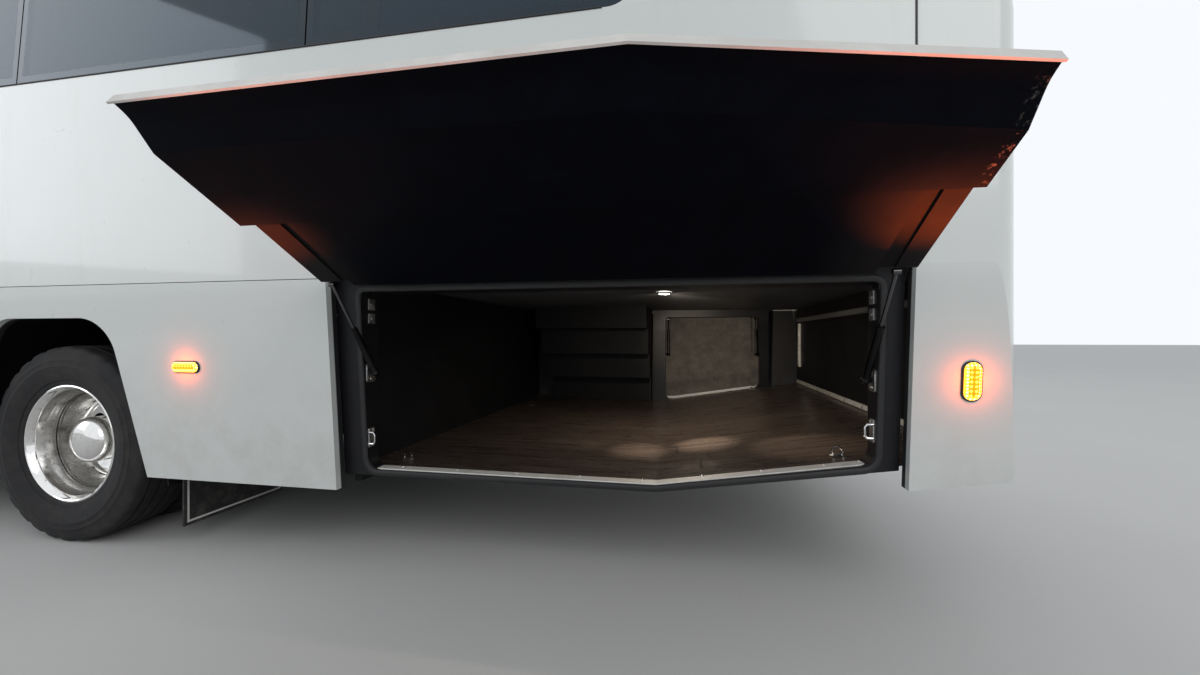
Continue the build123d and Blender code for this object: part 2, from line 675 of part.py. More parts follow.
def rim(centre_y, centre_x, disc, outward):
    """A wheel with its disc at an offset from the middle; outward is 1 or -1."""
    barrel = [(BEAD_R - 0.3, -86), (BEAD_R + 13, -86, 4), (BEAD_R + 13, -94, 4), (BEAD_R - 9, -94), (BEAD_R - 9, -40),
              (BEAD_R - 20, -30), (BEAD_R - 20, 20), (BEAD_R - 9, 40), (BEAD_R - 9, 94), (BEAD_R + 13, 94, 4),
              (BEAD_R + 13, 86, 4), (BEAD_R - 0.3, 86), (BEAD_R - 0.3, 50), (BEAD_R - 11, 22), (BEAD_R - 11, -32),
              (BEAD_R - 0.3, -48)]
    plate = [(60, disc - 7), (60, disc + 7), (150, disc + 7, 20), (BEAD_R - 14, 12), (BEAD_R - 14, -6), (150, disc - 7, 20)]
    form = joined(ring_y(barrel, (0, 0, 0)), ring_y(plate, (0, 0, 0)))
    if outward < 0:
        form = joined(*mirrored(form))
    return [Pos(centre_x, centre_y, AXLE_Z) * solid for solid in solids_of(form)]


def pierced(wheel, centre_x, side, radius):
    """Cut the eight hand holes of a wheel's disc."""
    for index in range(8):
        angle = math.radians(45 * (index + 0.5))
        x, z = centre_x + radius * math.cos(angle), AXLE_Z + radius * math.sin(angle)
        wheel = wheel - rod((x, 500 * side, z), (x, 1150 * side, z), 19)
    return wheel


def wheels():
    for name, side in (("left", 1), ("right", -1)):
        outer = OUTER_TWIN_Y * side
        inner = (OUTER_TWIN_Y - TWIN_PITCH) * side
        mid = (OUTER_TWIN_Y - TWIN_PITCH / 2) * side
        add("rear_tyres_" + name, rubber(outer, 0), rubber(inner, 0))
        outer_rim = rim(outer, 0, -TWIN_PITCH / 2 + 7, side)
        inner_rim = rim(inner, 0, -TWIN_PITCH / 2 + 7, -side)
        cap = [(0, -60), (100, -60), (100, 140), (95, 175, 30), (60, 190, 40), (0, 195)]
        hub = ring_y([(r, t * side) + tuple(rest) for r, t, *rest in cap], (0, mid, AXLE_Z))
        add("rear_wheels_" + name, pierced(joined(outer_rim, inner_rim, hub), 0, side, 172))
        front = FRONT_TYRE_Y * side
        add("front_tyre_" + name, rubber(front, WHEELBASE))
        front_rim = rim(front, WHEELBASE, 60, side)
        cap = [(0, 40), (80, 40), (80, 100), (74, 120, 20), (50, 130, 20), (0, 132)]
        hub = ring_y([(r, t * side) + tuple(rest) for r, t, *rest in cap], (WHEELBASE, front, AXLE_Z))
        add("front_wheel_" + name, pierced(joined(front_rim, hub), WHEELBASE, side, 178))


def running_gear():
    """Rails, springs, axles, knuckles, engine and what drives the rear wheels."""
    rails = [block((-1240, 5950), (side * 380, side * 440), (560, 780)) for side in (1, -1)]
    ties = [block((x, x + 80), (-385, 385), (600, 740)) for x in (-1240, -500, 900, 1900, 2900, 3650, 5860)]
    posts = []
    for x in (-1180, -620, 800, 1700, 2650, 3800):
        posts.append(block((x, x + 60), (-1300, 1300), (960, BELT_Z)) & volume_at(SKIN))
        posts.append(block((x, x + 60), (-1300, 1300), (BELT_Z, FLOOR_UNDER_Z)) & volume_at(WALL))
        for side in (1, -1):
            posts.append(block((x, x + 60), (side * 385, side * 435), (775, 965)))
    for x in (5100, 5780):
        for side in (1, -1):
            posts.append(block((x, x + 60), (side * 385, side * 435), (775, FLOOR_UNDER_Z)))

    springs = []
    for x in (0, WHEELBASE):
        for side in (1, -1):
            y = sorted((side * 385, side * 435))
            arc = [(x - 600, 556), (x - 560, 505), (x, 460), (x + 560, 505), (x + 600, 556), (x + 585, 560),
                   (x + 545, 530), (x, 500), (x - 545, 530), (x - 585, 560)]
            springs.append(prism(arc, "y", y[0], y[1]))
            springs += [block((x + end - 30, x + end + 30), y, (535, 575)) for end in (-590, 590)]
    silencer = joined(rod((2760, -780, 560), (3700, -780, 560), 160), rod((3300, -780, 440), (3300, -1090, 350), 35))
    hangers = [block((x, x + 60), (435, 520), (560, 700)) for x in (2850, 3550)]
    hangers += [block((x, x + 60), (-640, -435), (560, 600)) - silencer for x in (2850, 3550)]
    add("chassis", joined(*rails, *ties, *posts, *springs, *hangers))

    beam = prism([(-820, 345), (-820, 445), (-620, 445), (-480, 400), (480, 400), (620, 445), (820, 445), (820, 345),
                  (700, 345), (520, 290), (-520, 290), (-700, 345)], "x", WHEELBASE - 45, WHEELBASE + 45)
    pads = [block((WHEELBASE - 60, WHEELBASE + 60), sorted((side * 375, side * 445)), (395, 460)) for side in (1, -1)]
    eyes = [Solid.make_cylinder(45, 130, Plane((WHEELBASE, side * KINGPIN_Y, 330))) for side in (1, -1)]
    links = [block((WHEELBASE - 40, WHEELBASE + 40), sorted((side * 800, side * KINGPIN_Y)), (350, 440)) for side in (1, -1)]
    beam = joined(beam, *pads, *eyes, *links)
    for side in (1, -1):
        beam = beam - Solid.make_cylinder(16.05, 200, Plane((WHEELBASE, side * KINGPIN_Y, 300)))
    add("front_axle_beam", beam)
    for name, side in (("left", 1), ("right", -1)):
        pin = Solid.make_cylinder(16, 200, Plane((WHEELBASE, side * KINGPIN_Y, 295)))
        lower = block((WHEELBASE - 50, WHEELBASE + 50), sorted((side * (KINGPIN_Y - 40), side * 955)), (290, 328))
        upper = block((WHEELBASE - 50, WHEELBASE + 50), sorted((side * (KINGPIN_Y - 40), side * 955)), (462, 500))
        back = block((WHEELBASE - 50, WHEELBASE + 50), sorted((side * 935, side * 960)), (290, 500))
        drum = ring_y([(0, 950 * side), (165, 950 * side), (165, 1030 * side), (0, 1030 * side)], (WHEELBASE, 0, AXLE_Z))
        arm = block((WHEELBASE - 230, WHEELBASE - 45), sorted((side * 845, side * 885)), (292, 322))
        add("knuckle_" + name, joined(pin, lower, upper, back, drum, arm))

    tube = rod((0, -735, AXLE_Z), (0, 735, AXLE_Z), 60)
    bowl = ring_y([(0, -120), (150, -110, 40), (205, 0, 90), (150, 110, 40), (0, 120)], (0, 0, AXLE_Z))
    pads = [block((-60, 60), sorted((side * 375, side * 445)), (AXLE_Z, 460)) for side in (1, -1)]
    nose_piece = rod((120, 0, AXLE_Z), (330, 0, AXLE_Z + 6), 75)
    drums = [ring_y([(0, 690 * side), (165, 690 * side), (165, 810 * side), (0, 810 * side)], (0, 0, AXLE_Z))
             for side in (1, -1)]
    add("rear_axle", joined(tube, bowl, nose_piece, *pads, *drums))
    gearbox = prism([(3950, 520), (3950, 700), (4640, 880), (4640, 480)], "y", -200, 200)
    shaft = rod((330, 0, AXLE_Z + 6), (3955, 0, 560), 48)
    engine = block((4640, 5740), (-330, 330), (500, FLOOR_UNDER_Z))
    add("engine_and_drive", joined(engine, gearbox, shaft) - solid_union(pieces["rear_axle"]))
    tank = prism([(520, 380, 60), (1040, 380, 60), (1050, 790, 60), (520, 790, 60)], "x", 2760, 3700)
    add("tank_and_silencer", tank, silencer)


def wheel_housings():
    """Liners over the wheels, between the skirts and the rails."""
    form = [(480, 250), (480, 700, 60), (330, 935, 150)]
    shells = []
    for centre in (0, WHEELBASE):
        outer = [(centre - u, *rest) for u, *rest in form] + [(centre + u, *rest) for u, *rest in form[::-1]]
        inner_form = [(474, 240), (474, 698, 58), (327, 929, 148)]
        inner = [(centre - u, *rest) for u, *rest in inner_form] + [(centre + u, *rest) for u, *rest in inner_form[::-1]]
        liner = prism(outer, "y", 560, 1300) - prism(inner, "y", 500, 1400)
        liner = liner & volume_at(SKIN)
        shells += [liner, *mirrored(liner)]
    add("wheel_housings", shells)


def lockers():
    """Mid luggage lockers, open outwards."""
    outer = block(LOCKER_X, (470, 1300), (330, 960)) & volume_at(52)
    hollow = block((LOCKER_X[0] + 15, LOCKER_X[1] - 15), (485, 1400), (345, 945))
    box = outer - hollow
    add("mid_lockers", box, mirrored(box))


def small_pieces():
    """Mirrors, wipers, mud flaps, marker lamps and towing eyes."""
    for side in (1, -1):
        head = prism([(6270, 2080, 40), (6270, 2560, 40), (6370, 2560, 40), (6400, 2080, 40)], "y", 1180, 1400)
        arm = joined(
            rod((5800, 1040, 2960), (6330, 1290, 2900), 20),
            Pos(6330, 1290, 2900) * Solid.make_sphere(20),
            rod((6330, 1290, 2900), (6330, 1290, 2540), 20),
        )
        mirror = joined(head, arm) - volume_at(0)
        add("mirrors", mirror if side > 0 else mirrored(mirror))
    side_marker = prism([(-725, 699, 22), (-605, 699, 22), (-605, 744, 22), (-725, 744, 22)], "y", 1168, 1190)
    corner_marker = prism([(-3244, 658, 24), (-3194, 658, 24), (-3194, 768, 24), (-3244, 768, 24)], "y", 1168, 1190)
    lamps = [side_marker, *mirrored(side_marker), corner_marker, *mirrored(corner_marker)]
    for node in ("skirts", "rear_cap"):
        for lamp in lamps:
            pieces[node] = [piece for solid in pieces[node] for piece in solids_of(solid - lamp)]
    add("lamps", lamps)
    for x, foot_z, inner_y, outer_y in ((-536, 90, 640, 1090), (3989, 110, 780, 1080)):
        for side in (1, -1):
            sheet = block((x - 4, x + 4), sorted((side * inner_y, side * outer_y)), (foot_z, 590))
            arm = block((x - 12, x + 12), sorted((side * 440, side * outer_y)), (565, 595))
            add("mud_flaps", joined(sheet, arm))
    rise = math.tan(KINK_SLOPE)
    under = [(x, 335 + (KINK_X - x) * rise) for x in (-2750, -3050)]
    front_bar = block((5950, NOSE_X + 10), TOW_BAR_Y, (600, 650))
    rear_bar = prism(under + [(-3060, 430), (TAIL_X + 30, 430), (TAIL_X + 30, 392), (-2800, 380)], "y", *TOW_BAR_Y)
    for bar, x, z in ((front_bar, NOSE_X + 40, 625), (rear_bar, TAIL_X + 10, 411)):
        centre_y = sum(TOW_BAR_Y) / 2
        eye = Solid.make_cylinder(45, 24, Plane((x, centre_y, z - 12)))
        add("tow_eyes", joined(bar, eye) - Solid.make_cylinder(20, 60, Plane((x, centre_y, z - 30))))
    wiper_arms = []
    for y in (-180, 620):
        blade = rod((NOSE_X + 14, y - 60, SCREEN_Z + 60), (NOSE_X - 96, y + 100, SCREEN_Z + 820), 9)
        wiper_arms.append(blade - volume_at(0))
    add("wipers", wiper_arms)


def main():
    lower_panels()
    windows()
    roof()
    nose()
    tail()
    luggage_flaps()
    luggage_bay()
    cabin()
    seats()
    door("front_door", FRONT_DOOR_X, *FRONT_DOOR_PIVOT, 420)
    door("rear_door", REAR_DOOR_X, *REAR_DOOR_PIVOT, 350)
    wheels()
    running_gear()
    wheel_housings()
    lockers()
    small_pieces()
    os.makedirs("parts", exist_ok=True)
    for node, solids in pieces.items():
        shape = solids[0] if len(solids) == 1 else Compound(children=solids)
        export_step(shape, "parts/" + node + ".step")


main()
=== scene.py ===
"""Looks of a white midi coach, parked with its rear left luggage flap open.

Metres. X runs forward, Y to the left and Z up, with the origin on the ground under the rear axle.
"""
import math

import bmesh
import bpy
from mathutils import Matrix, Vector
from mathutils.bvhtree import BVHTree


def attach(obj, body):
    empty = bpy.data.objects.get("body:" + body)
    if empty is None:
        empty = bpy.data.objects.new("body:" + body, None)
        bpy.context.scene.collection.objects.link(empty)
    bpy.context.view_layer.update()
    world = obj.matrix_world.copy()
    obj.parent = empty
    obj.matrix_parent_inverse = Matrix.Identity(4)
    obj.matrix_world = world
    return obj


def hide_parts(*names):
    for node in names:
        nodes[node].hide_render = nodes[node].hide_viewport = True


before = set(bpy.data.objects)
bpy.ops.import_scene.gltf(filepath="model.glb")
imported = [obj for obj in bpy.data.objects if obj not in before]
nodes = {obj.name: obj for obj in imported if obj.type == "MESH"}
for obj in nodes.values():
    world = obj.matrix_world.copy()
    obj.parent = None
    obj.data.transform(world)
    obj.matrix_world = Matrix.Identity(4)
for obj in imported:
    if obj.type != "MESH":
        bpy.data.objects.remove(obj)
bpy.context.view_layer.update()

HALF_WIDTH = 1.2
BELT_Z = 1.0285
SKIRT_Z = 0.296
WINDOW_Z = 1.826
CANT_Z = 2.87
SCREEN_Z = 1.29
NOSE_X = 6.25
TAIL_X = -3.39
SEAM_X = -3.077
KINK_X = -2.374
CLIMB = math.tan(math.radians(8.7))
AXLE_Z = 0.3985
WHEELBASE = 4.5
OUTER_TWIN_Y = 1.0225
TWIN_PITCH = 0.265
FRONT_TYRE_Y = 1.01
FLAP_HINGE = (1.208, 1.03)
FLAP_OPEN = math.radians(122.8)
FLAP_LOW = 0.366
BAY_X = (-3.07, -1.271)
RIGHT_BAY_X = (-3.07, -2.225)
JAMB_REAR = 0.061
JAMB_FRONT = 0.086
FRONT_DOOR_X = (4.990, 5.865)
REAR_DOOR_X = (-2.190, -1.450)
SKIRT_TUCK = 0.052
SIDE_SLOPE = 0.071
WINDOW_LEAN = 0.065
SIDES = (("left", 1), ("right", -1))
REAR_BAYS = (("left", 1, BAY_X), ("right", -1, RIGHT_BAY_X))
AHEAD = 7
BEHIND = -5


def side_y(z):
    """Half width of the body at a height."""
    if z < BELT_Z:
        return HALF_WIDTH - SKIRT_TUCK * (BELT_Z - z) / (BELT_Z - SKIRT_Z)
    return HALF_WIDTH - WINDOW_LEAN * max(0, z - WINDOW_Z) / (CANT_Z - WINDOW_Z)


def climb(x):
    """Rise of the sill behind its kink."""
    return max(0, KINK_X - x) * CLIMB


def turns(count, start=0.0):
    """Angles spread evenly over one turn."""
    return [2 * math.pi * (index + start) / count for index in range(count)]


def spread(first, pitch, count):
    """Places at an even pitch."""
    return [first + pitch * index for index in range(count)]


# Finishes


class Value:
    """A number that varies over a surface. Python's operators add the Math nodes."""

    def __init__(self, finish, socket):
        self.finish = finish
        self.socket = socket

    def maths(self, operation, *values):
        return self.finish.node("Math", {"operation": operation}, dict(enumerate(values)))

    def __add__(self, other):
        return self.maths("ADD", self, other)

    def __sub__(self, other):
        return self.maths("SUBTRACT", self, other)

    def __rsub__(self, other):
        return self.maths("SUBTRACT", other, self)

    def __mul__(self, other):
        return self.maths("MULTIPLY", self, other)

    def __truediv__(self, other):
        return self.maths("DIVIDE", self, other)

    def __pow__(self, other):
        return self.maths("POWER", self, other)

    def __abs__(self):
        return self.maths("ABSOLUTE", self)

    __radd__ = __add__
    __rmul__ = __mul__

    def wave(self, length):
        """From -1 to 1 and back once in a length."""
        return self.maths("SINE", self * (2 * math.pi / length))

    def between(self, low, high):
        """A soft step from 0 at low to 1 at high, or down where low is the larger."""
        settings = {"interpolation_type": "SMOOTHSTEP"}
        start, end = (0, 1) if low < high else (1, 0)
        sockets = {0: self, 1: min(low, high), 2: max(low, high), 3: start, 4: end}
        return self.finish.node("MapRange", settings, sockets)


class Finish:
    """A procedural material. Fixed values sit on the shader's own sockets."""

    def __init__(self, name, **surface):
        self.material = bpy.data.materials.new(name)
        self.material.use_nodes = True
        self.tree = self.material.node_tree
        self.shader = self.tree.nodes["Principled BSDF"]
        self.set(**surface)
        self.place = Value(self, self.node("TexCoord", {}, {}, "Object").socket)
        self.x, self.y, self.z = (self.node("SeparateXYZ", {}, {0: self.place}, n) for n in "XYZ")

    def node(self, kind, settings, sockets, output=0):
        made = self.tree.nodes.new("ShaderNode" + kind)
        for key, value in settings.items():
            if key == "stops":
                colors = made.color_ramp.elements
                for index, (position, color) in enumerate(value):
                    stop = colors[index] if index < 2 else colors.new(position)
                    stop.position = position
                    stop.color = (*color, 1)
            else:
                setattr(made, key, value)
        for key, value in sockets.items():
            self.feed(made.inputs[key], value)
        return Value(self, made.outputs[output])

    def feed(self, socket, value):
        if isinstance(value, Value):
            self.tree.links.new(value.socket, socket)
        elif isinstance(value, tuple) and len(value) == 3 and socket.type == "RGBA":
            socket.default_value = (*value, 1)
        else:
            socket.default_value = value

    def set(self, **surface):
        """Feed sockets of the shader by name."""
        for key, value in surface.items():
            socket = key.replace("_", " ").title().replace("Ior", "IOR")
            self.feed(self.shader.inputs[socket], value)
        return self

    def stretched(self, x, y, z):
        return self.node("VectorMath", {"operation": "MULTIPLY"}, {0: self.place, 1: (x, y, z)})

    def grain(self, scale, detail=3.0, roughness=0.55, place=None):
        """Noise from 0 to 1."""
        sockets = {"Vector": place or self.place, "Scale": scale, "Detail": detail, "Roughness": roughness}
        return self.node("TexNoise", {}, sockets)

    def cells(self, scale, place=None):
        """Distance from the nearest of many scattered points."""
        return self.node("TexVoronoi", {}, {"Vector": place or self.place, "Scale": scale}, "Distance")

    def mix(self, mask, a, b):
        return self.node("Mix", {"data_type": "RGBA"}, {0: mask, 6: a, 7: b}, 2)

    def ramp(self, value, *stops):
        return self.node("ValToRGB", {"stops": stops}, {0: value})

    def bump(self, height, depth, strength=1.0):
        """Relief from a height of 0 to 1, depth in metres."""
        relief = self.node("Bump", {}, {"Strength": strength, "Distance": depth, "Height": height})
        return self.set(normal=relief)


PAINT_TONES = (0.655, 0.69, 0.675), (0.71, 0.735, 0.72)
GRIME_TONE = (0.30, 0.27, 0.22)


def painted(panel):
    """White body paint, a little uneven in tone."""
    return panel.mix(panel.grain(1.7, 4), *PAINT_TONES)


def paint_relief(panel):
    return panel.bump(panel.grain(2.2, 2) * 0.85 + panel.grain(160, 1) * 0.15, 0.004, 0.10)


def splashed(low, dust):
    """Road dirt on the lower panels."""
    return low * (dust.between(0.35, 0.75) * 0.20 + 0.05)


def white_paint():
    coat = Finish("white_coach_paint", coat_weight=0.7, coat_roughness=0.06, specular_ior_level=0.5)
    dust = coat.grain(9, 6, 0.7)
    streaks = coat.grain(1, 5, 0.6, coat.stretched(7, 7, 0.9))
    grime = splashed(coat.z.between(0.95, 0.28) * coat.z.between(-0.1, 0.2), dust)
    runs = streaks.between(0.56, 0.74) * coat.z.between(3.3, 2.2) * 0.10
    tone = coat.mix(runs, painted(coat), (0.42, 0.41, 0.37))
    coat.set(base_color=coat.mix(grime, tone, GRIME_TONE), roughness=0.24 + dust * 0.10 + grime * 0.5)
    return paint_relief(coat)


def painted_with_liner(name, depth_of, base, slots=(), worn=False):
    """Paint outside, black lining where the panel is deeper than its skin and in its strut slots."""
    panel = Finish(name, specular_ior_level=0.06, coat_roughness=0.06)
    depth = depth_of(panel)
    lining = depth.between(0.0085, 0.0105)
    for x in slots:
        slot = depth.between(0.003, 0.005) * abs(panel.x - x).between(0.029, 0.027)
        lining = lining.maths("MAXIMUM", lining, slot)
    dust = panel.grain(13, 6, 0.7)
    scuffs = panel.grain(1, 4, 0.6, panel.stretched(2, 26, 26)).between(0.60, 0.8)
    felt = panel.mix(dust.between(0.3, 0.8) * 0.6 + scuffs * 0.4, base, tuple(c * 2.2 + 0.001 for c in base))
    if worn:
        # Lighter patches at both ends of the open flap, where the marker beams fall: partly rubbed wear,
        # partly painted light that brightens the amber glow there.
        ends = panel.x.between(-1.52, -1.33) + panel.x.between(-2.78, -2.99)
        rubbed_and_glow_lit = ends * panel.y.between(1.62, 1.44) * (0.45 + dust * 0.5)
        felt = panel.mix(rubbed_and_glow_lit, felt, (0.024, 0.021, 0.020))
        chips = panel.grain(70, 4, 0.7).between(0.54, 0.62) * panel.x.between(-3.040, -3.056)
        chips = chips * panel.y.between(1.50, 1.54) * panel.y.between(1.70, 1.66)
        felt = panel.mix(chips * 0.5, felt, (0.16, 0.14, 0.13))
    panel.set(base_color=panel.mix(lining, painted(panel), felt),
              roughness=0.22 + lining * (0.30 + dust * 0.22))
    panel.set(coat_weight=1 - lining)
    relief = panel.grain(420, 2) * lining * 0.4 + panel.grain(5, 2) * 0.6
    return panel.bump(relief, 0.003, 0.16)


def open_depth(panel):
    """Depth under the skin of the open flap, along its own slope."""
    out, up = panel.y - FLAP_HINGE[0], panel.z - FLAP_HINGE[1]
    reach = FLAP_OPEN - math.pi / 2
    along = out * math.cos(reach) + up * math.sin(reach)
    under = out * math.sin(reach) - up * math.cos(reach)
    return under - (FLAP_HINGE[0] - HALF_WIDTH + along * SIDE_SLOPE)


def closed_depth(panel):
    """Depth under the skin of a closed side flap."""
    return HALF_WIDTH - (BELT_Z - panel.z) * SIDE_SLOPE - abs(panel.y)


def painted_outside(name):
    """Body paint with a black inner face where the panel looks into the coach."""
    panel = Finish(name, coat_roughness=0.06)
    inside = closed_depth(panel).between(0.020, 0.026) * panel.z.between(1.04, 1.03)
    inside = inside * panel.x.between(-3.31, -3.30)
    behind = panel.x.between(-3.365, -3.360) * panel.x.between(-3.2, -3.21) * abs(panel.y).between(1.06, 1.05)
    inside = inside.maths("MAXIMUM", inside, behind)
    dust = panel.grain(9, 6, 0.7)
    grime = splashed(panel.z.between(0.95, 0.28), dust)
    tone = panel.mix(grime, painted(panel), GRIME_TONE)
    dark = panel.mix(dust, (0.008, 0.008, 0.010), (0.018, 0.018, 0.020))
    panel.set(base_color=panel.mix(inside, tone, dark), coat_weight=0.7 * (1 - inside),
              roughness=0.24 + dust * 0.10 + grime * 0.4 + inside * 0.25)
    return paint_relief(panel)


def mud_flap():
    """Thick black rubber sheet; the rear pair has a white line along its edge."""
    sheet = Finish("mud_flap_rubber", specular_ior_level=0.4)
    aside = abs(sheet.y)
    line = abs(aside - 1.074).between(0.0045, 0.0030) + abs(aside - 0.656).between(0.0045, 0.0030)
    line = line * sheet.z.between(0.100, 0.103) + abs(sheet.z - 0.106).between(0.0045, 0.0030)
    line = line * aside.between(1.079, 1.0775) * aside.between(0.651, 0.6525) * sheet.x.between(1, 0)
    dust = sheet.grain(17, 6, 0.7)
    tone = sheet.mix(dust.between(0.4, 0.8), (0.012, 0.012, 0.013), (0.075, 0.068, 0.058))
    sheet.set(base_color=sheet.mix(line, tone, (0.62, 0.61, 0.58)), roughness=0.55 + dust * 0.2)
    return sheet.bump(sheet.grain(220, 2), 0.0008, 0.4)


PRISM_PITCH = 0.011


def tail_lens():
    """The tall tail lamp: red, amber, clear and red chambers with dark lines between and prisms inside."""
    lens = Finish("tail_lamp_lens", coat_weight=1.0, coat_roughness=0.03, specular_ior_level=0.8,
                  roughness=0.08)
    clear = abs(lens.z - 1.075).between(0.0775, 0.0765)
    amber = abs(lens.z - 0.9325).between(0.0650, 0.0640)
    ribs = lens.y.wave(PRISM_PITCH) * lens.z.wave(PRISM_PITCH) * 0.5 + 0.5
    spots = lens.cells(42, lens.stretched(0.2, 1, 1)).between(0.42, 0.18)
    tone = lens.mix(ribs, (0.30, 0.005, 0.005), (0.48, 0.016, 0.012))
    tone = lens.mix(amber, tone, lens.mix(ribs, (0.60, 0.15, 0.006), (0.80, 0.27, 0.02)))
    tone = lens.mix(clear, tone, lens.mix(spots, (0.42, 0.43, 0.44), (0.72, 0.73, 0.74)))
    joint = abs(lens.z - 0.8675).between(0.006, 0.004) + abs(lens.z - 0.9975).between(0.006, 0.004)
    joint = joint + abs(lens.z - 1.1525).between(0.006, 0.004)
    lens.set(base_color=lens.mix(joint, tone, (0.012, 0.012, 0.012)))
    return lens.bump(ribs, 0.0012, 0.35)


def plastic(name, color, rough=0.45, grain=300, depth=0.0006, **more):
    """Moulded plastic with a fine grain and handling marks."""
    shell = Finish(name, **more)
    marks = shell.grain(6, 5, 0.65)
    pale = tuple(min(1, c * 1.5 + 0.004) for c in color)
    shell.set(base_color=shell.mix(marks.between(0.35, 0.8) * 0.6, color, pale),
              roughness=rough + (marks - 0.5) * 0.22)
    return shell.bump(shell.grain(grain, 2), depth, 0.35)


def metal(name, color, rough=0.2, dirt=(0.06, 0.05, 0.04), soil=0.2):
    """Bare or plated metal with stains."""
    plate = Finish(name)
    stain = plate.grain(11, 6, 0.7)
    fine = plate.grain(90, 3)
    film = stain.between(0.42, 0.78) * soil
    plate.set(base_color=plate.mix(film, color, dirt), metallic=1 - film * 0.8,
              roughness=rough + film * 0.5 + (fine - 0.5) * 0.08)
    return plate.bump(fine, 0.0004, 0.25)


def brushed(name, color, along):
    """Aluminium with fine lines along one way and small dents."""
    plate = Finish(name)
    lines = plate.grain(1, 2, 0.5, plate.stretched(*along))
    stain = plate.grain(8, 5, 0.7).between(0.5, 0.8)
    tone = plate.mix(lines, tuple(c * 0.82 for c in color), color)
    plate.set(base_color=plate.mix(stain * 0.5, tone, (0.2, 0.19, 0.17)), metallic=0.25 - stain * 0.1,
              roughness=0.30 + lines * 0.16)
    return plate.bump(lines, 0.0005, 0.4)


def tyre_rubber():
    """Black rubber, dusty and browned low on the wall, with fine rings and a trodden tread."""
    rubber = Finish("tyre_side_and_tread", specular_ior_level=0.3)
    radius = (rubber.x ** 2 + rubber.z ** 2) ** 0.5
    rings = radius.wave(0.0065) * radius.between(0.27, 0.30) * radius.between(0.385, 0.365)
    dust = rubber.grain(14, 6, 0.7)
    patch = rubber.grain(3, 4)
    tread = radius.between(0.384, 0.394)
    film = dust.between(0.35, 0.75) * (0.35 + patch * 0.4) * (1 - tread * 0.3)
    rubber.set(base_color=rubber.mix(film, (0.013, 0.013, 0.015), (0.050, 0.046, 0.041)),
               roughness=0.62 + dust * 0.25)
    return rubber.bump(rings * 0.12 + rubber.grain(240, 2) * 0.25, 0.004, 0.5)


def chrome():
    """Bright wheel metal, dulled by brake dust, and darkened in its recessed well by painted shade."""
    plate = Finish("chromed_wheel")
    radius = (plate.x ** 2 + plate.z ** 2) ** 0.5
    dust = plate.grain(16, 6, 0.72)
    # Painted shade: darker, duller metal in the recessed well near the middle plane, mottled by brake dust.
    deep = abs(plate.y).between(0.075, 0.02) * radius.between(0.098, 0.125)
    film = dust.between(0.40, 0.80) * 0.22 + deep * (0.30 + dust.between(0.3, 0.7) * 0.42)
    spots = plate.cells(60).between(0.30, 0.10) * dust.between(0.5, 0.6) * 0.5
    dirt_and_shade = film + spots
    plate.set(base_color=plate.mix(dirt_and_shade, (0.86, 0.85, 0.83), (0.085, 0.075, 0.055)),
              metallic=1 - dirt_and_shade * 0.75, roughness=0.07 + dirt_and_shade * 0.5)
    return plate.bump(plate.grain(30, 3), 0.0008, 0.12)


def planks():
    """Dark wood-look flooring in boards along the coach, worn to a dull shine."""
    board = Finish("dark_plank_flooring", specular_ior_level=0.6)
    width = 0.118
    row = board.node("Math", {"operation": "FLOOR"}, {0: board.y / width})
    shift = board.node("TexWhiteNoise", {"noise_dimensions": "1D"}, {"W": row}, "Value")
    place = board.node("CombineXYZ", {}, {0: board.x * 1.6 + shift * 7, 1: board.y * 28, 2: shift * 5})
    figure = board.grain(2.4, 8, 0.62, place)
    fibre = board.grain(1, 4, 0.6, board.stretched(5, 260, 5))
    across = board.node("Math", {"operation": "FRACT"}, {0: board.y / width})
    along = board.node("Math", {"operation": "FRACT"}, {0: board.x / 0.92 + shift * 3})
    joint = across.between(0.965, 0.995) + across.between(0.035, 0.005) + along.between(0.990, 0.999)
    tone = board.ramp(figure * 0.75 + fibre * 0.25, (0.28, (0.024, 0.018, 0.015)),
                      (0.72, (0.125, 0.098, 0.082)), (0.50, (0.066, 0.050, 0.042)))
    tone = board.mix(shift * 0.35, tone, (0.028, 0.021, 0.018))
    dust = board.grain(6, 6, 0.7).between(0.52, 0.8)
    tone = board.mix(dust * 0.25, tone, (0.16, 0.14, 0.12))
    board.set(base_color=board.mix(joint * 0.8, tone, (0.005, 0.004, 0.004)),
              roughness=0.20 + figure * 0.16 + dust * 0.2)
    return board.bump(figure * 0.3 + fibre * 0.3 - joint * 0.6, 0.0012, 0.5)


def glass(name, tint, see_through, borders=None):
    """Tinted glass with a black printed border."""
    pane = Finish(name, roughness=0.03, specular_ior_level=0.6, specular_tint=(0.56, 0.76, 0.95, 1))
    border = borders(pane) if borders else pane.x * 0
    smear = pane.grain(3, 5, 0.6)
    tone = pane.mix(smear, tint, tuple(c * 1.3 for c in tint))
    pane.set(base_color=pane.mix(border, tone, (0.006, 0.006, 0.007)), roughness=0.025 + smear * 0.04)
    pane.set(alpha=1 - see_through * (1 - border))
    return pane


GLASS_JOINTS_X = (-2.32, -1.44, -1.187, 0.123, 1.433, 2.743, 4.053, 4.984, 5.003, 5.864)


def side_border(pane):
    """Black print along the foot, the head and the joints of the side glass."""
    edge = pane.z.between(WINDOW_Z + 0.034, WINDOW_Z + 0.026) + pane.z.between(CANT_Z - 0.05, CANT_Z - 0.04)
    for x in GLASS_JOINTS_X:
        edge = edge + abs(pane.x - x).between(0.030, 0.024)
    return edge.between(0.0, 1.0)


def screen_border(pane):
    """Black print round the windscreen and along its middle joint."""
    edge = pane.z.between(SCREEN_Z + 0.12, SCREEN_Z + 0.09) + pane.z.between(CANT_Z - 0.13, CANT_Z - 0.11)
    edge = edge + abs(pane.y).between(1.085, 1.10) + abs(pane.y).between(0.012, 0.006)
    return edge.between(0.0, 1.0)


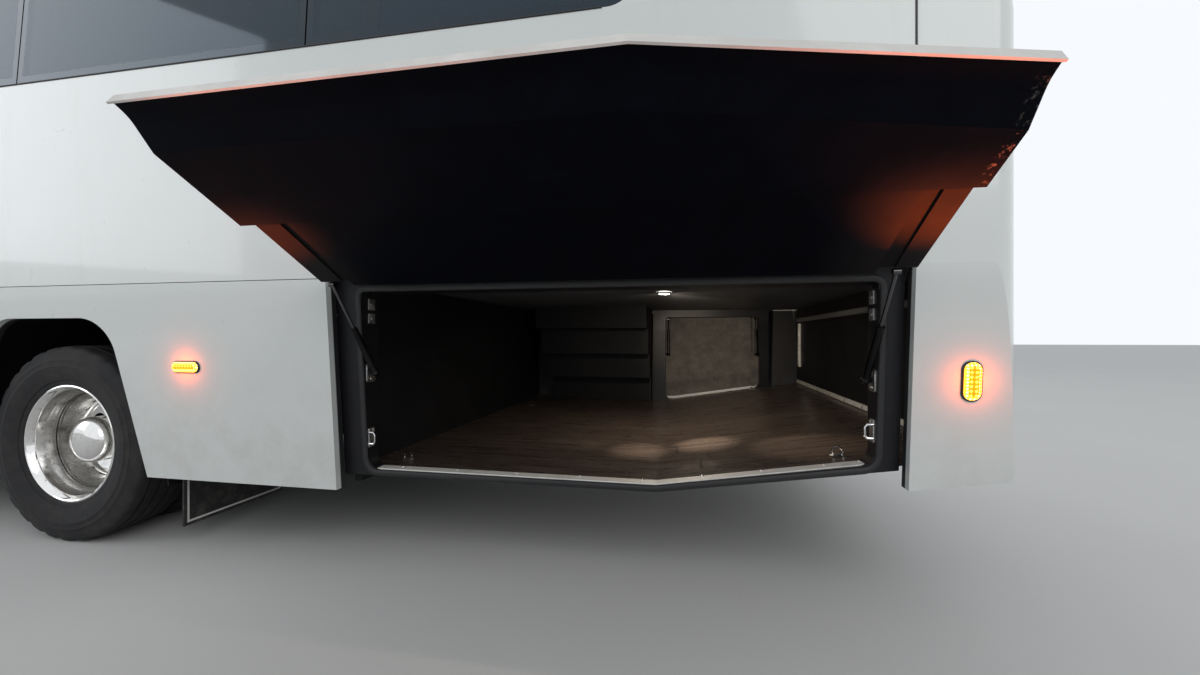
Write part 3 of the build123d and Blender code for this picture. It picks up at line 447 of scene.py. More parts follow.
def cloth():
    """Woven seat cloth in blue-grey with a fine fleck."""
    weave = Finish("woven_seat_cloth", sheen_weight=0.35, sheen_roughness=0.4, specular_ior_level=0.2)
    warp = weave.x.wave(0.0052) * weave.z.wave(0.0052) * 0.5 + 0.5
    fleck = weave.cells(260).between(0.30, 0.12)
    worn = weave.grain(5, 5, 0.6)
    tone = weave.mix(warp, (0.040, 0.050, 0.075), (0.080, 0.095, 0.13))
    tone = weave.mix(fleck * 0.5, tone, (0.20, 0.21, 0.22))
    weave.set(base_color=weave.mix(worn.between(0.5, 0.8) * 0.3, tone, (0.14, 0.15, 0.17)),
              roughness=0.78 + warp * 0.15)
    return weave.bump(warp, 0.0012, 0.5)


def glow(name, color, strength, dots, base, dim=0.6):
    """A lit lens: bright dots on a coloured glow."""
    lens = Finish(name, roughness=0.3, specular_ior_level=0.25, emission_strength=strength)
    spot = dots(lens)
    unlit, bright = (tuple(c * dim for c in tone) for tone in (base, color))
    lens.set(base_color=lens.mix(spot, unlit, bright), emission_color=lens.mix(spot, base, color))
    return lens


def dotted(u, v, pitch):
    """A grid of round dots over two of a lens's own directions."""

    def dots(lens):
        swings = [way.maths("COSINE", way * (2 * math.pi / pitch)) * 0.5
                  for way in (getattr(lens, u), getattr(lens, v))]
        return (swings[0] + swings[1]).between(0.05, 0.6)

    return dots


def lens_color(name, color):
    """A moulded lamp lens, unlit, with prism lines under its face."""
    lens = Finish(name, roughness=0.08, coat_weight=1.0, coat_roughness=0.03, specular_ior_level=0.8)
    ribs = lens.y.wave(PRISM_PITCH) * lens.z.wave(PRISM_PITCH)
    lens.set(base_color=lens.mix(ribs * 0.5 + 0.5, color, tuple(min(1, c * 1.9 + 0.015) for c in color)))
    return lens.bump(ribs, 0.0012, 0.35)


def concrete():
    """The pale floor under the coach."""
    slab = Finish("pale_floor", specular_ior_level=0.2)
    tone = slab.mix(slab.grain(0.8, 6, 0.6), (0.60, 0.60, 0.59), (0.66, 0.66, 0.65))
    slab.set(base_color=tone, roughness=0.7 + slab.grain(40, 2) * 0.1)
    return slab


PAINT = white_paint()
# One flap lining in two colours: on the open flap a shaded copy, near-black blue, as painted shade; on the
# shut flaps a lit copy, mid grey, as painted light.
OPEN_FLAP_SHADED = painted_with_liner("open_flap_paint_and_shaded_lining", open_depth, (0.0008, 0.0011, 0.0032),
                               (BAY_X[0] + 0.081, BAY_X[1] - 0.106), True)
SHUT_FLAP_LIT = painted_with_liner("shut_flap_paint_and_lit_lining", closed_depth, (0.10, 0.096, 0.090),
                               (RIGHT_BAY_X[0] + 0.081, RIGHT_BAY_X[1] - 0.106))
BLACK = plastic("black_moulding", (0.012, 0.012, 0.013), 0.42)
JAMB = plastic("black_jamb_sheet", (0.007, 0.007, 0.009), 0.38, 120, 0.0008, specular_ior_level=0.3)
# Black bay lining; also the black sheets behind the front inlet, the grille and the fans, which are painted
# shade.
BLACK_LINING_AND_SHADE_SHEET = plastic("black_bay_lining_and_shade_sheet", (0.006, 0.006, 0.007), 0.6, 500, 0.001, specular_ior_level=0.25)
GREY_LINING = plastic("grey_bay_panel", (0.13, 0.13, 0.13), 0.55, 260, 0.0008)
RUBBER = plastic("seal_rubber", (0.014, 0.014, 0.015), 0.5, 600, 0.0004, specular_ior_level=0.45)
RACK = plastic("grey_rack_moulding", (0.34, 0.35, 0.36), 0.5)
DASH = plastic("dark_dash_moulding", (0.035, 0.036, 0.040), 0.55, 700, 0.0008)
UNIT = plastic("white_roof_unit_moulding", (0.66, 0.67, 0.66), 0.4, 200, 0.0008)
VINYL = plastic("grey_cabin_floor_vinyl", (0.09, 0.095, 0.10), 0.5, 380, 0.0006)
UNDERSIDE = metal("black_chassis_paint", (0.03, 0.03, 0.032), 0.5, (0.10, 0.075, 0.05), 0.9)
GALVANISED = metal("bright_zinc_steel", (0.62, 0.62, 0.61), 0.28, (0.20, 0.18, 0.16), 0.5)
ROD = metal("ground_steel_rod", (0.70, 0.70, 0.71), 0.12, soil=0.1)
STRUT_BLACK = metal("black_strut_tube", (0.02, 0.02, 0.022), 0.3, (0.05, 0.045, 0.04), 0.5)
CHROME = chrome()
TYRE = tyre_rubber()
SILL = brushed("sill_aluminium", (0.88, 0.87, 0.83), (3, 240, 240))
PLANKS = planks()
SIDE_GLASS = glass("tinted_side_glass", (0.016, 0.024, 0.032), 0.26, side_border)
SCREEN_GLASS = glass("windscreen_glass", (0.018, 0.024, 0.024), 0.55, screen_border)
DOOR_GLASS = glass("door_glass", (0.020, 0.026, 0.030), 0.38)
MIRROR = metal("mirror_face", (0.88, 0.89, 0.90), 0.03, soil=0.04)
CLOTH = cloth()
MARKER_FACE = glow("amber_marker_face", (1.0, 0.50, 0.06), 3.0, dotted("x", "z", 0.0125),
                   (1.0, 0.15, 0.0), 0.30)
MARKER_RING = glow("amber_marker_ring", (1.0, 0.80, 0.30), 3.2, dotted("x", "z", 0.0090),
                   (1.0, 0.35, 0.02), 0.30)
LINED_PAINT = painted_outside("paint_and_dark_inner_face")
MUD_FLAP = mud_flap()
TAIL_LENS = tail_lens()
RED_LENS = lens_color("red_lamp_lens", (0.35, 0.006, 0.006))
AMBER_LENS = lens_color("amber_lamp_lens", (0.62, 0.16, 0.005))
CLEAR_LENS = glass("clear_lamp_lens", (0.75, 0.77, 0.78), 0.82)
HEAD_LENS = glass("head_lamp_lens", (0.60, 0.63, 0.66), 0.86)
CHROME_TRIM = metal("bright_trim", (0.84, 0.84, 0.84), 0.12, soil=0.15)
STRUT_ROD = metal("dark_strut_rod", (0.10, 0.10, 0.105), 0.14, soil=0.1)
BOWL = metal("lamp_reflector", (0.80, 0.80, 0.80), 0.10, soil=0.05)
BAY_LAMP = glow("bay_lamp_face", (1.0, 0.97, 0.88), 30, dotted("x", "y", 0.011), (0.9, 0.86, 0.74))
PLATE = plastic("bare_plate", (0.62, 0.62, 0.58), 0.35, 90, 0.0003)
WHITE_TRIM = plastic("white_flap_edging", (0.62, 0.61, 0.58), 0.5)


# Shapes


def rounded(corners, steps=6):
    """Outline through corners (u, v) or (u, v, radius), each radius as an arc."""
    points = []
    for index, corner in enumerate(corners):
        here = Vector(corner[:2])
        back = Vector(corners[index - 1][:2]) - here
        ahead = Vector(corners[(index + 1) % len(corners)][:2]) - here
        if len(corner) == 2:
            points.append(here)
            continue
        half = back.angle(ahead) / 2
        reach = min(corner[2] / math.tan(half), 0.49 * back.length, 0.49 * ahead.length)
        radius = reach * math.tan(half)
        centre = here + (back.normalized() + ahead.normalized()).normalized() * (radius / math.sin(half))
        first = here + back.normalized() * reach - centre
        last = here + ahead.normalized() * reach - centre
        turn = first.angle_signed(last)
        for step in range(steps + 1):
            angle = -turn * step / steps
            spun = Vector((first.x * math.cos(angle) - first.y * math.sin(angle),
                           first.x * math.sin(angle) + first.y * math.cos(angle)))
            points.append(centre + spun)
    return points


def oblong(left, right, low, high, radius, steps=6, top=None):
    """A rectangle with rounded corners, the upper pair with a radius of its own where one is given."""
    top = radius if top is None else top
    return rounded([(left, low, radius), (right, low, radius), (right, high, top), (left, high, top)], steps)


def shrunk(outline, amount):
    """An outline moved inwards."""
    area = sum(a.x * b.y - b.x * a.y for a, b in zip(outline, outline[1:] + outline[:1]))
    inward = 1 if area > 0 else -1
    moved = []
    for index, here in enumerate(outline):
        ahead = (outline[(index + 1) % len(outline)] - here).normalized()
        back = (here - outline[index - 1]).normalized()
        push = (Vector((-ahead.y, ahead.x)) + Vector((-back.y, back.x))) * 0.5 * inward
        moved.append(here + push * (amount / max(push.length_squared, 0.3)))
    return moved


def on_x(x, way=1):
    """Lay (u, v, out) on a plane across X: u along Y and v up, out along X."""
    return lambda u, v, out: Vector((x + out * way, u, v))


def on_side(way):
    """Lay (u, v, out) on the body side, which leans in below the belt and above the sills."""
    return lambda u, v, out: Vector((u, way * (side_y(v) + out), v))


class Shape:
    """A piece that grows part by part, each part in its own finish."""

    def __init__(self):
        self.mesh = bmesh.new()
        self.finishes = []

    def paint(self, faces, finish):
        if finish not in self.finishes:
            self.finishes.append(finish)
        for face in faces:
            face.material_index = self.finishes.index(finish)

    def skin(self, rows, finish, around=False, again=False, caps=False):
        """A surface through rows of points. around closes each row, again joins the last row to the first."""
        grid = [[self.mesh.verts.new(point) for point in row] for row in rows]
        faces = []
        for index in range(len(grid) - (0 if again else 1)):
            low, high = grid[index], grid[(index + 1) % len(grid)]
            for j in range(len(low) - (0 if around else 1)):
                k = (j + 1) % len(low)
                faces.append(self.mesh.faces.new((low[j], low[k], high[k], high[j])))
        if caps:
            faces.append(self.mesh.faces.new(grid[0][::-1]))
            faces.append(self.mesh.faces.new(grid[-1]))
        self.paint(faces, finish)
        return self

    def turned(self, profile, finish, centre=(0, 0, 0), axis=(0, 1, 0), steps=48):
        """A lathe form from (radius, along) points."""
        along = Vector(axis).normalized()
        first = along.orthogonal().normalized()
        second = along.cross(first)
        rows = []
        for angle in turns(steps):
            spoke = first * math.cos(angle) + second * math.sin(angle)
            rows.append([Vector(centre) + spoke * r + along * t for r, t in profile])
        return self.skin(rows, finish, again=True)

    def swept(self, path, section, finish, up=(0, 0, 1), closed=False):
        """A section of (aside, upward) points run along a path."""
        path = [Vector(p) for p in path]
        rows = []
        for index, here in enumerate(path):
            ahead = path[(index + 1) % len(path)] if closed or index < len(path) - 1 else here
            back = path[index - 1] if closed or index else here
            along = (ahead - back).normalized()
            aside = along.cross(Vector(up)).normalized()
            top = aside.cross(along)
            rows.append([here + aside * a + top * b for a, b in section])
        return self.skin(rows, finish, around=True, again=closed, caps=not closed)

    def tube(self, path, radius, finish, sides=10, up=(0, 0, 1), closed=False):
        ring = [(radius * math.cos(angle), radius * math.sin(angle)) for angle in turns(sides)]
        return self.swept(path, ring, finish, up, closed)

    def slab(self, outline, thick, lay, finish, edge=0.003):
        """A plate of an outline, laid with its face out, with eased edges."""
        outline = [Vector(p[:2]) for p in outline]
        inner = shrunk(outline, edge)
        rings = ((outline, 0), (outline, thick - edge), (inner, thick))
        return self.skin([[lay(*p, out) for p in ring] for ring, out in rings], finish, around=True,
                         caps=True)

    def rising(self, outline, steps, lay, finish):
        """A band that rises inside an outline through (inset, out) steps."""
        return self.skin([[lay(*p, out) for p in shrunk(outline, inset)] for inset, out in steps], finish,
                         around=True)

    def domed(self, outline, steps, lay, finish):
        """A rising band closed by a face."""
        self.rising(outline, steps, lay, finish)
        last = list(self.mesh.verts)[-len(outline):]
        self.paint([self.mesh.faces.new(last)], finish)
        return self

    def panel(self, us, vs, out, lay, finish):
        """A thin raised sheet over a grid, its border turned down to the surface."""
        rows = []
        for i, v in enumerate([vs[0], *vs, vs[-1]]):
            edge_row = i in (0, len(vs) + 1)
            row = [lay(u, v, -0.001 if edge_row or j in (0, len(us) + 1) else out)
                   for j, u in enumerate([us[0], *us, us[-1]])]
            rows.append(row)
        return self.skin(rows, finish)

    def taken(self, node, wanted, finish_of):
        """Faces of a CAD node, each in the finish that a rule gives it."""
        start = len(self.mesh.faces)
        self.mesh.from_mesh(nodes[node].data)
        faces = list(self.mesh.faces)[start:]
        for face in faces:
            face.normal_update()
        drop = [face for face in faces if not wanted(face.calc_center_median())]
        kept = [face for face in faces if face not in set(drop)]
        for face in kept:
            self.paint([face], finish_of(face))
        bmesh.ops.delete(self.mesh, geom=drop, context="FACES")
        return self

    def box(self, low, high, finish, edge=0.004):
        """A block with eased edges all round."""
        edge = min(edge, *(0.45 * (b - a) for a, b in zip(low, high)))
        outline = oblong(low[0], high[0], low[1], high[1], edge, 2)
        inner = shrunk(outline, edge * 0.9)
        rows = [(inner, low[2]), (outline, low[2] + edge), (outline, high[2] - edge), (inner, high[2])]
        return self.skin([[Vector((*p, z)) for p in ring] for ring, z in rows], finish, around=True,
                         caps=True)

    def screw(self, place, out, finish, radius=0.006, high=0.003):
        """A domed screw head."""
        dome = [(0, high), (radius * 0.5, high * 0.9), (radius * 0.9, high * 0.5), (radius, 0),
                (radius, -0.001)]
        return self.turned(dome, finish, place, out, 10)

    def nut(self, place, out, finish, radius=0.016, high=0.02):
        """A hexagon nut on its washer, with a stud end."""
        washer = [(0, 0.003), (radius * 1.25, 0.003), (radius * 1.3, 0)]
        self.turned(washer, finish, place, out, 16)
        body = [(0, high), (radius * 0.8, high), (radius, high * 0.85), (radius, 0.003)]
        self.turned(body, finish, place, out, 6)
        stud = [(0, high * 1.35), (radius * 0.45, high * 1.35), (radius * 0.5, high)]
        return self.turned(stud, finish, place, out, 10)

    def lock(self, place, out):
        """A round bright lock with its keyhole."""
        self.turned([(0, 0.003), (0.010, 0.003), (0.014, 0.001), (0.016, -0.002)], CHROME_TRIM, place, out,
                    20)
        return self.turned([(0, 0.005), (0.003, 0.005), (0.003, 0.003)], BLACK, place, out, 8)

    def mirrored(self):
        """The same form on the other side of the coach."""
        other = Shape()
        other.mesh = self.mesh.copy()
        other.finishes = list(self.finishes)
        for vert in other.mesh.verts:
            vert.co.y = -vert.co.y
        bmesh.ops.reverse_faces(other.mesh, faces=other.mesh.faces)
        return other

    def keep(self, name, body="body", slot=None, stands_for=(), centre=None, soft=0.6):
        """Finish the piece and let it ride on a body."""
        bmesh.ops.remove_doubles(self.mesh, verts=self.mesh.verts, dist=1e-5)
        bmesh.ops.recalc_face_normals(self.mesh, faces=self.mesh.faces)
        data = bpy.data.meshes.new(name)
        self.mesh.to_mesh(data)
        self.mesh.free()
        for finish in self.finishes:
            data.materials.append(finish.material)
        return keep_mesh(data, name, body, stands_for, centre, soft)


def keep_mesh(data, name, body, stands_for, centre, soft):
    """An object for a mesh, smooth up to an angle, with its body and the nodes it stands for."""
    data.polygons.foreach_set("use_smooth", [True] * len(data.polygons))
    data.set_sharp_from_angle(angle=soft)
    piece = bpy.data.objects.new(name, data)
    bpy.context.scene.collection.objects.link(piece)
    if centre is not None:
        piece.location = centre
    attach(piece, body)
    if stands_for:
        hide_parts(*stands_for)
    return piece


def shaped(piece, *modifiers):
    """A piece with modifiers applied to its mesh."""
    for kind, settings in modifiers:
        modifier = piece.modifiers.new(kind.lower(), kind)
        for key, value in settings.items():
            setattr(modifier, key, value)
    graph = bpy.context.evaluated_depsgraph_get()
    data = bpy.data.meshes.new_from_object(piece.evaluated_get(graph))
    piece.modifiers.clear()
    piece.data = data
    return piece


def surface_of(*names):
    """A way to find where a ray meets CAD nodes."""
    points, faces = [], []
    for name in names:
        data = nodes[name].data
        start = len(points)
        points += [v.co.copy() for v in data.vertices]
        faces += [[start + i for i in p.vertices] for p in data.polygons]
    tree = BVHTree.FromPolygons(points, faces)
    return lambda start, way: tree.ray_cast(Vector(start), Vector(way))[0]


# Camera, floor and light


EYE = (-2.471, 2.58, 0.83)
LOOK = (0.1829, -0.9831, 0)
LENS = 13.95
FLOOR_REACH = 60
SKY_ON_OBJECT = 0.62
STUDIO = (("key", (-8, 9, 7), (-1, 0, 1), 7, 270, (1, 0.99, 0.97)),
          ("fill", (9, 6, 5), (3, 0, 1), 6, 190, (0.95, 0.97, 1)),
          ("back", (2, -10, 6), (1, 0, 1), 8, 260, (0.97, 0.98, 1)))


def placed(name, data, place, way):
    """An object for a camera or a light, turned to look one way."""
    thing = bpy.data.objects.new(name, data)
    thing.location = place
    thing.rotation_euler = Vector(way).to_track_quat("-Z", "Y").to_euler()
    bpy.context.scene.collection.objects.link(thing)
    return thing


def stage():
    """Camera of the photograph, pale floor, white sky and three wide soft lights."""
    bpy.context.scene.view_settings.view_transform = "Standard"
    camera = bpy.data.cameras.new("photo_camera")
    camera.lens = LENS
    camera.sensor_width = 36
    camera.clip_start = 0.02
    camera.clip_end = 200
    bpy.context.scene.camera = placed("photo_camera", camera, EYE, LOOK)

    data = bpy.data.meshes.new("floor")
    corners = [(x * FLOOR_REACH, y * FLOOR_REACH, 0) for x, y in ((-1, -1), (1, -1), (1, 1), (-1, 1))]
    data.from_pydata(corners, [], [(0, 1, 2, 3)])
    data.materials.append(concrete().material)
    floor = bpy.data.objects.new("floor", data)
    bpy.context.scene.collection.objects.link(floor)

    world = bpy.data.worlds.new("sky")
    bpy.context.scene.world = world
    world.use_nodes = True
    tree = world.node_tree
    back = tree.nodes["Background"]
    back.inputs["Color"].default_value = (0.93, 0.96, 1.0, 1)
    paths = tree.nodes.new("ShaderNodeLightPath")
    seen = tree.nodes.new("ShaderNodeMath")
    seen.operation = "MAXIMUM"
    tree.links.new(paths.outputs["Is Camera Ray"], seen.inputs[0])
    tree.links.new(paths.outputs["Is Glossy Ray"], seen.inputs[1])
    level = tree.nodes.new("ShaderNodeMapRange")
    level.inputs["To Min"].default_value = SKY_ON_OBJECT
    level.inputs["To Max"].default_value = 1.0
    tree.links.new(seen.outputs[0], level.inputs["Value"])
    tree.links.new(level.outputs[0], back.inputs["Strength"])

    for name, place, target, wide, power, color in STUDIO:
        light = bpy.data.lights.new(name, "AREA")
        light.size = wide
        light.energy = power
        light.color = color
        placed(name, light, place, Vector(target) - Vector(place))


def small_light(name, place, power, color, way, size, gloss=False, cone=None):
    """A lamp's own light, thrown one way, within a cone where one is given."""
    light = bpy.data.lights.new(name, "SPOT" if cone else "AREA")
    if cone:
        light.spot_size = math.radians(cone)
        light.spot_blend = 1
        light.shadow_soft_size = size / 2
    else:
        light.shape = "DISK"
        light.size = size
    light.energy = power
    light.color = color
    lamp = placed(name, light, place, way)
    lamp.visible_camera = False
    lamp.visible_glossy = gloss


# Finishes of the solids that stay


def dress_solids():
    """Give each solid that stays its finish."""
    wear = {
        LINED_PAINT: ["skirts", "rear_cap", "rear_hatch"],
        PAINT: ["side_bands", "roof", "front_face", "front_flap", "roof_hatch_front", "roof_hatch_rear",
                "front_door_leaf", "rear_door_leaf"],
        OPEN_FLAP_SHADED: ["luggage_flap_left"],
        SHUT_FLAP_LIT: ["luggage_flap_right", "locker_flap_left", "locker_flap_right"],
        SIDE_GLASS: ["fixed_glass"],
        SCREEN_GLASS: ["windscreen"],
        DOOR_GLASS: ["front_door_glass", "rear_door_glass"],
        BLACK: ["window_posts", "wipers", "mirrors"],
        MUD_FLAP: ["mud_flaps"],
        JAMB: ["bay_frames"],
        BLACK_LINING_AND_SHADE_SHEET: ["bay_bulkhead", "wheel_housings", "mid_lockers", "stairs"],
        PLANKS: ["luggage_floor"],
        SILL: ["sill_strips"],
        UNIT: ["roof_air_unit"],
        VINYL: ["saloon_floor"],
        DASH: ["dash"],
        RACK: ["luggage_racks"],
        UNDERSIDE: ["chassis", "front_axle_beam", "rear_axle", "engine_and_drive", "tank_and_silencer",
                    "knuckle_left", "knuckle_right", "seat_frames", "tow_eyes"],
        STRUT_BLACK: ["strut_tubes_left", "strut_tubes_right", "front_door_arm", "rear_door_arm"],
        STRUT_ROD: ["strut_rods_left", "strut_rods_right"],
        CLOTH: ["seat_cushions", "seat_backs"],
        AMBER_LENS: ["lamps"],
    }
    for finish, names in wear.items():
        for name in names:
            solid = nodes[name].data
            solid.materials.clear()
            solid.materials.append(finish.material)


# Wheels

# Profiles are (radius, across) from a wheel's middle plane, outward first.
TYRE_PROFILE = [(0.231, 0.086), (0.238, 0.0945), (0.247, 0.099), (0.256, 0.0995), (0.259, 0.1035),
                (0.275, 0.1085), (0.296, 0.1155), (0.312, 0.1175), (0.318, 0.1190), (0.322, 0.1175),
                (0.336, 0.1155), (0.3415, 0.1165), (0.3450, 0.1140), (0.358, 0.1105), (0.370, 0.1070),
                (0.384, 0.1030), (0.3925, 0.0975), (0.3965, 0.088)]
GROOVES = (0.062, 0.021)
NUT_CIRCLE = 0.1125
RIM_BACK = [(0.2150, -0.075), (0.2240, -0.084), (0.2330, -0.0965), (0.2400, -0.0905), (0.2385, -0.084),
            (0.2250, -0.078)]


def tread():
    """Profile from one shoulder groove to the crown, as (radius, across)."""
    points = []
    for middle in GROOVES:
        points += [(0.3975, middle + 0.0055), (0.3895, middle + 0.0035), (0.3895, middle - 0.0035),
                   (0.398, middle - 0.0055)]
    return points


def tyre(shape, across):
    """A tyre with shoulder notches at every fourth step round it."""
    half = TYRE_PROFILE + tread()
    profile = half + [(0.3985, 0)] + [(r, -t) for r, t in half[::-1]]
    rows = []
    for step, angle in enumerate(turns(120)):
        row = []
        for r, t in profile:
            if step % 4 == 0 and 0.070 < abs(t) < 0.1045 and r > 0.38:
                r -= 0.007
            row.append(Vector((r * math.cos(angle), across + t, r * math.sin(angle))))
        rows.append(row)
    shape.skin(rows, TYRE, again=True)


LIP = [(0.2385, 0.084), (0.2400, 0.0905), (0.2380, 0.0950), (0.2330, 0.0965), (0.2285, 0.0940),
       (0.2240, 0.086), (0.2175, 0.079), (0.2150, 0.070), (0.2150, 0.046), (0.2115, 0.036),
       (0.2060, 0.028), (0.2045, 0.018)]


def pierced_disc(name, profile, ring, hole, tilt):
    """The mesh of a wheel's disc with its hand holes cut."""
    disc = Shape()
    disc.turned(profile, CHROME, steps=96)
    piece = disc.keep(name)
    cutters = Shape()
    for angle in turns(8, 0.5):
        spoke = Vector((math.cos(angle), 0, math.sin(angle)))
        way = Vector((0, 1, 0)) * math.cos(tilt) + spoke * math.sin(tilt)
        aside = way.cross(spoke).normalized()
        up = aside.cross(way)
        middle = spoke * ring[0] + Vector((0, ring[1], 0))
        oval = [middle + aside * (hole[0] * math.cos(a)) + up * (hole[1] * math.sin(a)) for a in turns(20)]
        cutters.skin([[p + way * reach for p in oval] for reach in (-0.05, 0.05)], CHROME, around=True,
                     caps=True)
    tool = cutters.keep(name + "_cutter")
    shaped(piece, ("BOOLEAN", {"operation": "DIFFERENCE", "object": tool, "solver": "EXACT"}))
    data = piece.data
    bpy.data.objects.remove(tool)
    bpy.data.objects.remove(piece)
    return data


def rear_disc_profile():
    """The deep-set disc of a twin wheel, front face and back."""
    face = [(0.2045, 0.010), (0.2035, -0.035), (0.2000, -0.062), (0.1900, -0.086), (0.1720, -0.104),
            (0.1500, -0.1165), (0.1360, -0.1255), (0.1300, -0.1300), (0.0900, -0.1300)]
    return face + [(r - 0.004, t - 0.008) for r, t in face[::-1]]


def front_disc_profile():
    """The bulging disc of a front wheel, front face and back."""
    face = [(0.2045, 0.016), (0.2030, 0.010), (0.1960, 0.010), (0.1860, 0.022), (0.1700, 0.048),
            (0.1520, 0.063), (0.1380, 0.0680), (0.0700, 0.0680)]
    return face + [(r - 0.003, t - 0.008) for r, t in face[::-1]]


def wheel(name, side, disc, ring, hole, tilt, face, hub, twin):
    """Rims, disc, nuts and hub cap round a point on the axle, outward as +Y, mirrored for the right."""
    shape = Shape()
    well = [(0.2045, 0.010), (0.2045, -0.020), (0.2150, -0.034)]
    shape.turned(LIP + well + RIM_BACK + [(0.2250, 0.078)], CHROME, steps=96)
    if twin:
        front = [(0.2250, 0.078), (0.2385, 0.084), (0.2400, 0.0905), (0.2330, 0.0965), (0.2150, 0.075)]
        barrel = front + RIM_BACK[:1] + RIM_BACK[2:]
        shape.turned([(r, t - twin) for r, t in barrel], UNDERSIDE, steps=48)
    shape.turned(hub, CHROME, steps=64)
    for angle in turns(10):
        shape.nut((NUT_CIRCLE * math.cos(angle), face, NUT_CIRCLE * math.sin(angle)), (0, 1, 0), GALVANISED)
    start = len(shape.mesh.faces)
    shape.mesh.from_mesh(pierced_disc(name + "_disc", disc, ring, hole, tilt))
    shape.paint(list(shape.mesh.faces)[start:], CHROME)
    return shape.mirrored() if side < 0 else shape


def wheels():
    """Chromed wheels and treaded tyres, twin at the rear."""
    rear_hub = [(0.0, 0.0625), (0.035, 0.0610), (0.060, 0.0560), (0.080, 0.0465), (0.0905, 0.035),
                (0.0950, 0.020), (0.0965, 0.012), (0.0950, 0.006), (0.0950, -0.095), (0.0990, -0.105),
                (0.1000, -0.1305)]
    front_hub = [(0.0, 0.131), (0.030, 0.1295), (0.050, 0.125), (0.066, 0.117), (0.0755, 0.107),
                 (0.079, 0.098), (0.079, 0.078), (0.083, 0.070), (0.084, 0.066)]
    for name, side in SIDES:
        rear_axle = (0, side * OUTER_TWIN_Y, AXLE_Z)
        front_axle = (WHEELBASE, side * FRONT_TYRE_Y, AXLE_Z)
        pair, single = "rear_wheels_" + name, "front_wheel_" + name
        rear = wheel("rear_" + name, side, rear_disc_profile(), (0.168, -0.107), (0.027, 0.019),
                     math.radians(-35), -0.130, rear_hub, TWIN_PITCH)
        rear.keep(pair + "_chrome", pair, "chromed_steel", [pair], rear_axle, soft=0.5)
        front = wheel("front_" + name, side, front_disc_profile(), (0.178, 0.035), (0.024, 0.017),
                      math.radians(50), 0.068, front_hub, 0)
        front.keep(single + "_chrome", single, "chromed_steel", [single], front_axle, soft=0.5)
        treads = Shape()
        tyre(treads, 0)
        tyre(treads, -side * TWIN_PITCH)
        rear_tyres = "rear_tyres_" + name
        treads.keep(rear_tyres + "_treaded", pair, "tyre_rubber", [rear_tyres], rear_axle)
        treads = Shape()
        tyre(treads, 0)
        front_tyre = "front_tyre_" + name
        treads.keep(front_tyre + "_treaded", single, "tyre_rubber", [front_tyre], front_axle)


# Rear luggage bay

BAY_FOOT = 0.362
BAY_HEAD = 0.987
BAY_LAMP_AT = (-2.37, 0.42, 1.036)
SILL_SCREWS_X = (-1.47, -1.68, -1.90, -2.12, -2.33, -2.52, -2.70, -2.88, -2.98)
STRIKER_Y = 1.103


def bay_outline(x_range, out):
    """The inner edge of an opening's frame, moved out, as (x, z)."""
    rear, front = x_range[0] + JAMB_REAR, x_range[1] - JAMB_FRONT
    foot, head = BAY_FOOT - out, BAY_HEAD + out
    return rounded([(front + out, foot, 0.05), (front + out, head, 0.03), (rear - out, head, 0.03),
                    (rear - out, foot + (KINK_X - rear) * CLIMB, 0.05), (KINK_X, foot, 0.2)], 8)


def bay_trim():
    """Seals round the openings, and what is screwed to the left opening's sill and jambs."""
    for name, side, x_range in REAR_BAYS:
        seal = Shape()
        path = [Vector((p.x, side * (side_y(p.y) - 0.0515), p.y)) for p in bay_outline(x_range, 0.011)]
        bead = [(0.011 * math.cos(a), 0.0065 * math.sin(a)) for a in turns(10)]
        seal.swept(path, bead, RUBBER, (0, 1, 0), closed=True)
        seal.keep("bay_seal_" + name, "body", "black_rubber")

    metalwork = Shape()
    for x in SILL_SCREWS_X:
        metalwork.screw((x, 1.066, 0.366 + climb(x)), (0, 0, 1), GALVANISED, 0.0055, 0.004)
    for x, way, z in ((-1.357, -1, 0.472), (-3.009, 1, 0.556)):
        jamb_metalwork(metalwork, x, way, z)
    metalwork.keep("bay_strikers_and_screws", "body", "bright_rod")


def jamb_metalwork(shape, x, way, z):
    """Striker, strut shoe and brackets on one jamb."""
    jamb, out = on_x(x, way), (way, 0, 0)
    plate = [(1.089 + p.x * 0.45, z + p.y) for p in oblong(-0.034, 0.034, -0.034, 0.034, 0.006, 3)]
    shape.slab(plate, 0.004, jamb, GALVANISED, 0.001)
    half_loop = [(0, -0.02), (0.020, -0.02), (0.026, -0.012)]
    loop = half_loop + [(out_by, -up) for out_by, up in half_loop[::-1]]
    shape.tube([jamb(STRIKER_Y, z + up, out_by) for out_by, up in loop], 0.0038, ROD, 8, (0, 1, 0))
    for dz in (0.026, -0.026):
        shape.screw(jamb(1.081, z + dz, 0.004), out, GALVANISED, 0.005)
    foot_z = 0.705
    shape.slab(oblong(1.068, 1.115, foot_z - 0.034, foot_z + 0.034, 0.008, 3), 0.0035, jamb, GALVANISED,
               0.001)
    for dz in (-0.022, 0.022):
        shape.screw(jamb(1.092, foot_z + dz, 0.0035), out, GALVANISED, 0.005)
    for low, high in ((0.880, 0.915), (0.928, 0.968)):
        near, far = sorted((x, x + way * 0.003))
        shape.box((near, 1.070, low), (far, 1.104, high), GALVANISED, 0.001)
        shape.screw(jamb(1.087, (low + high) / 2, 0.003), out, GALVANISED, 0.006, 0.003)


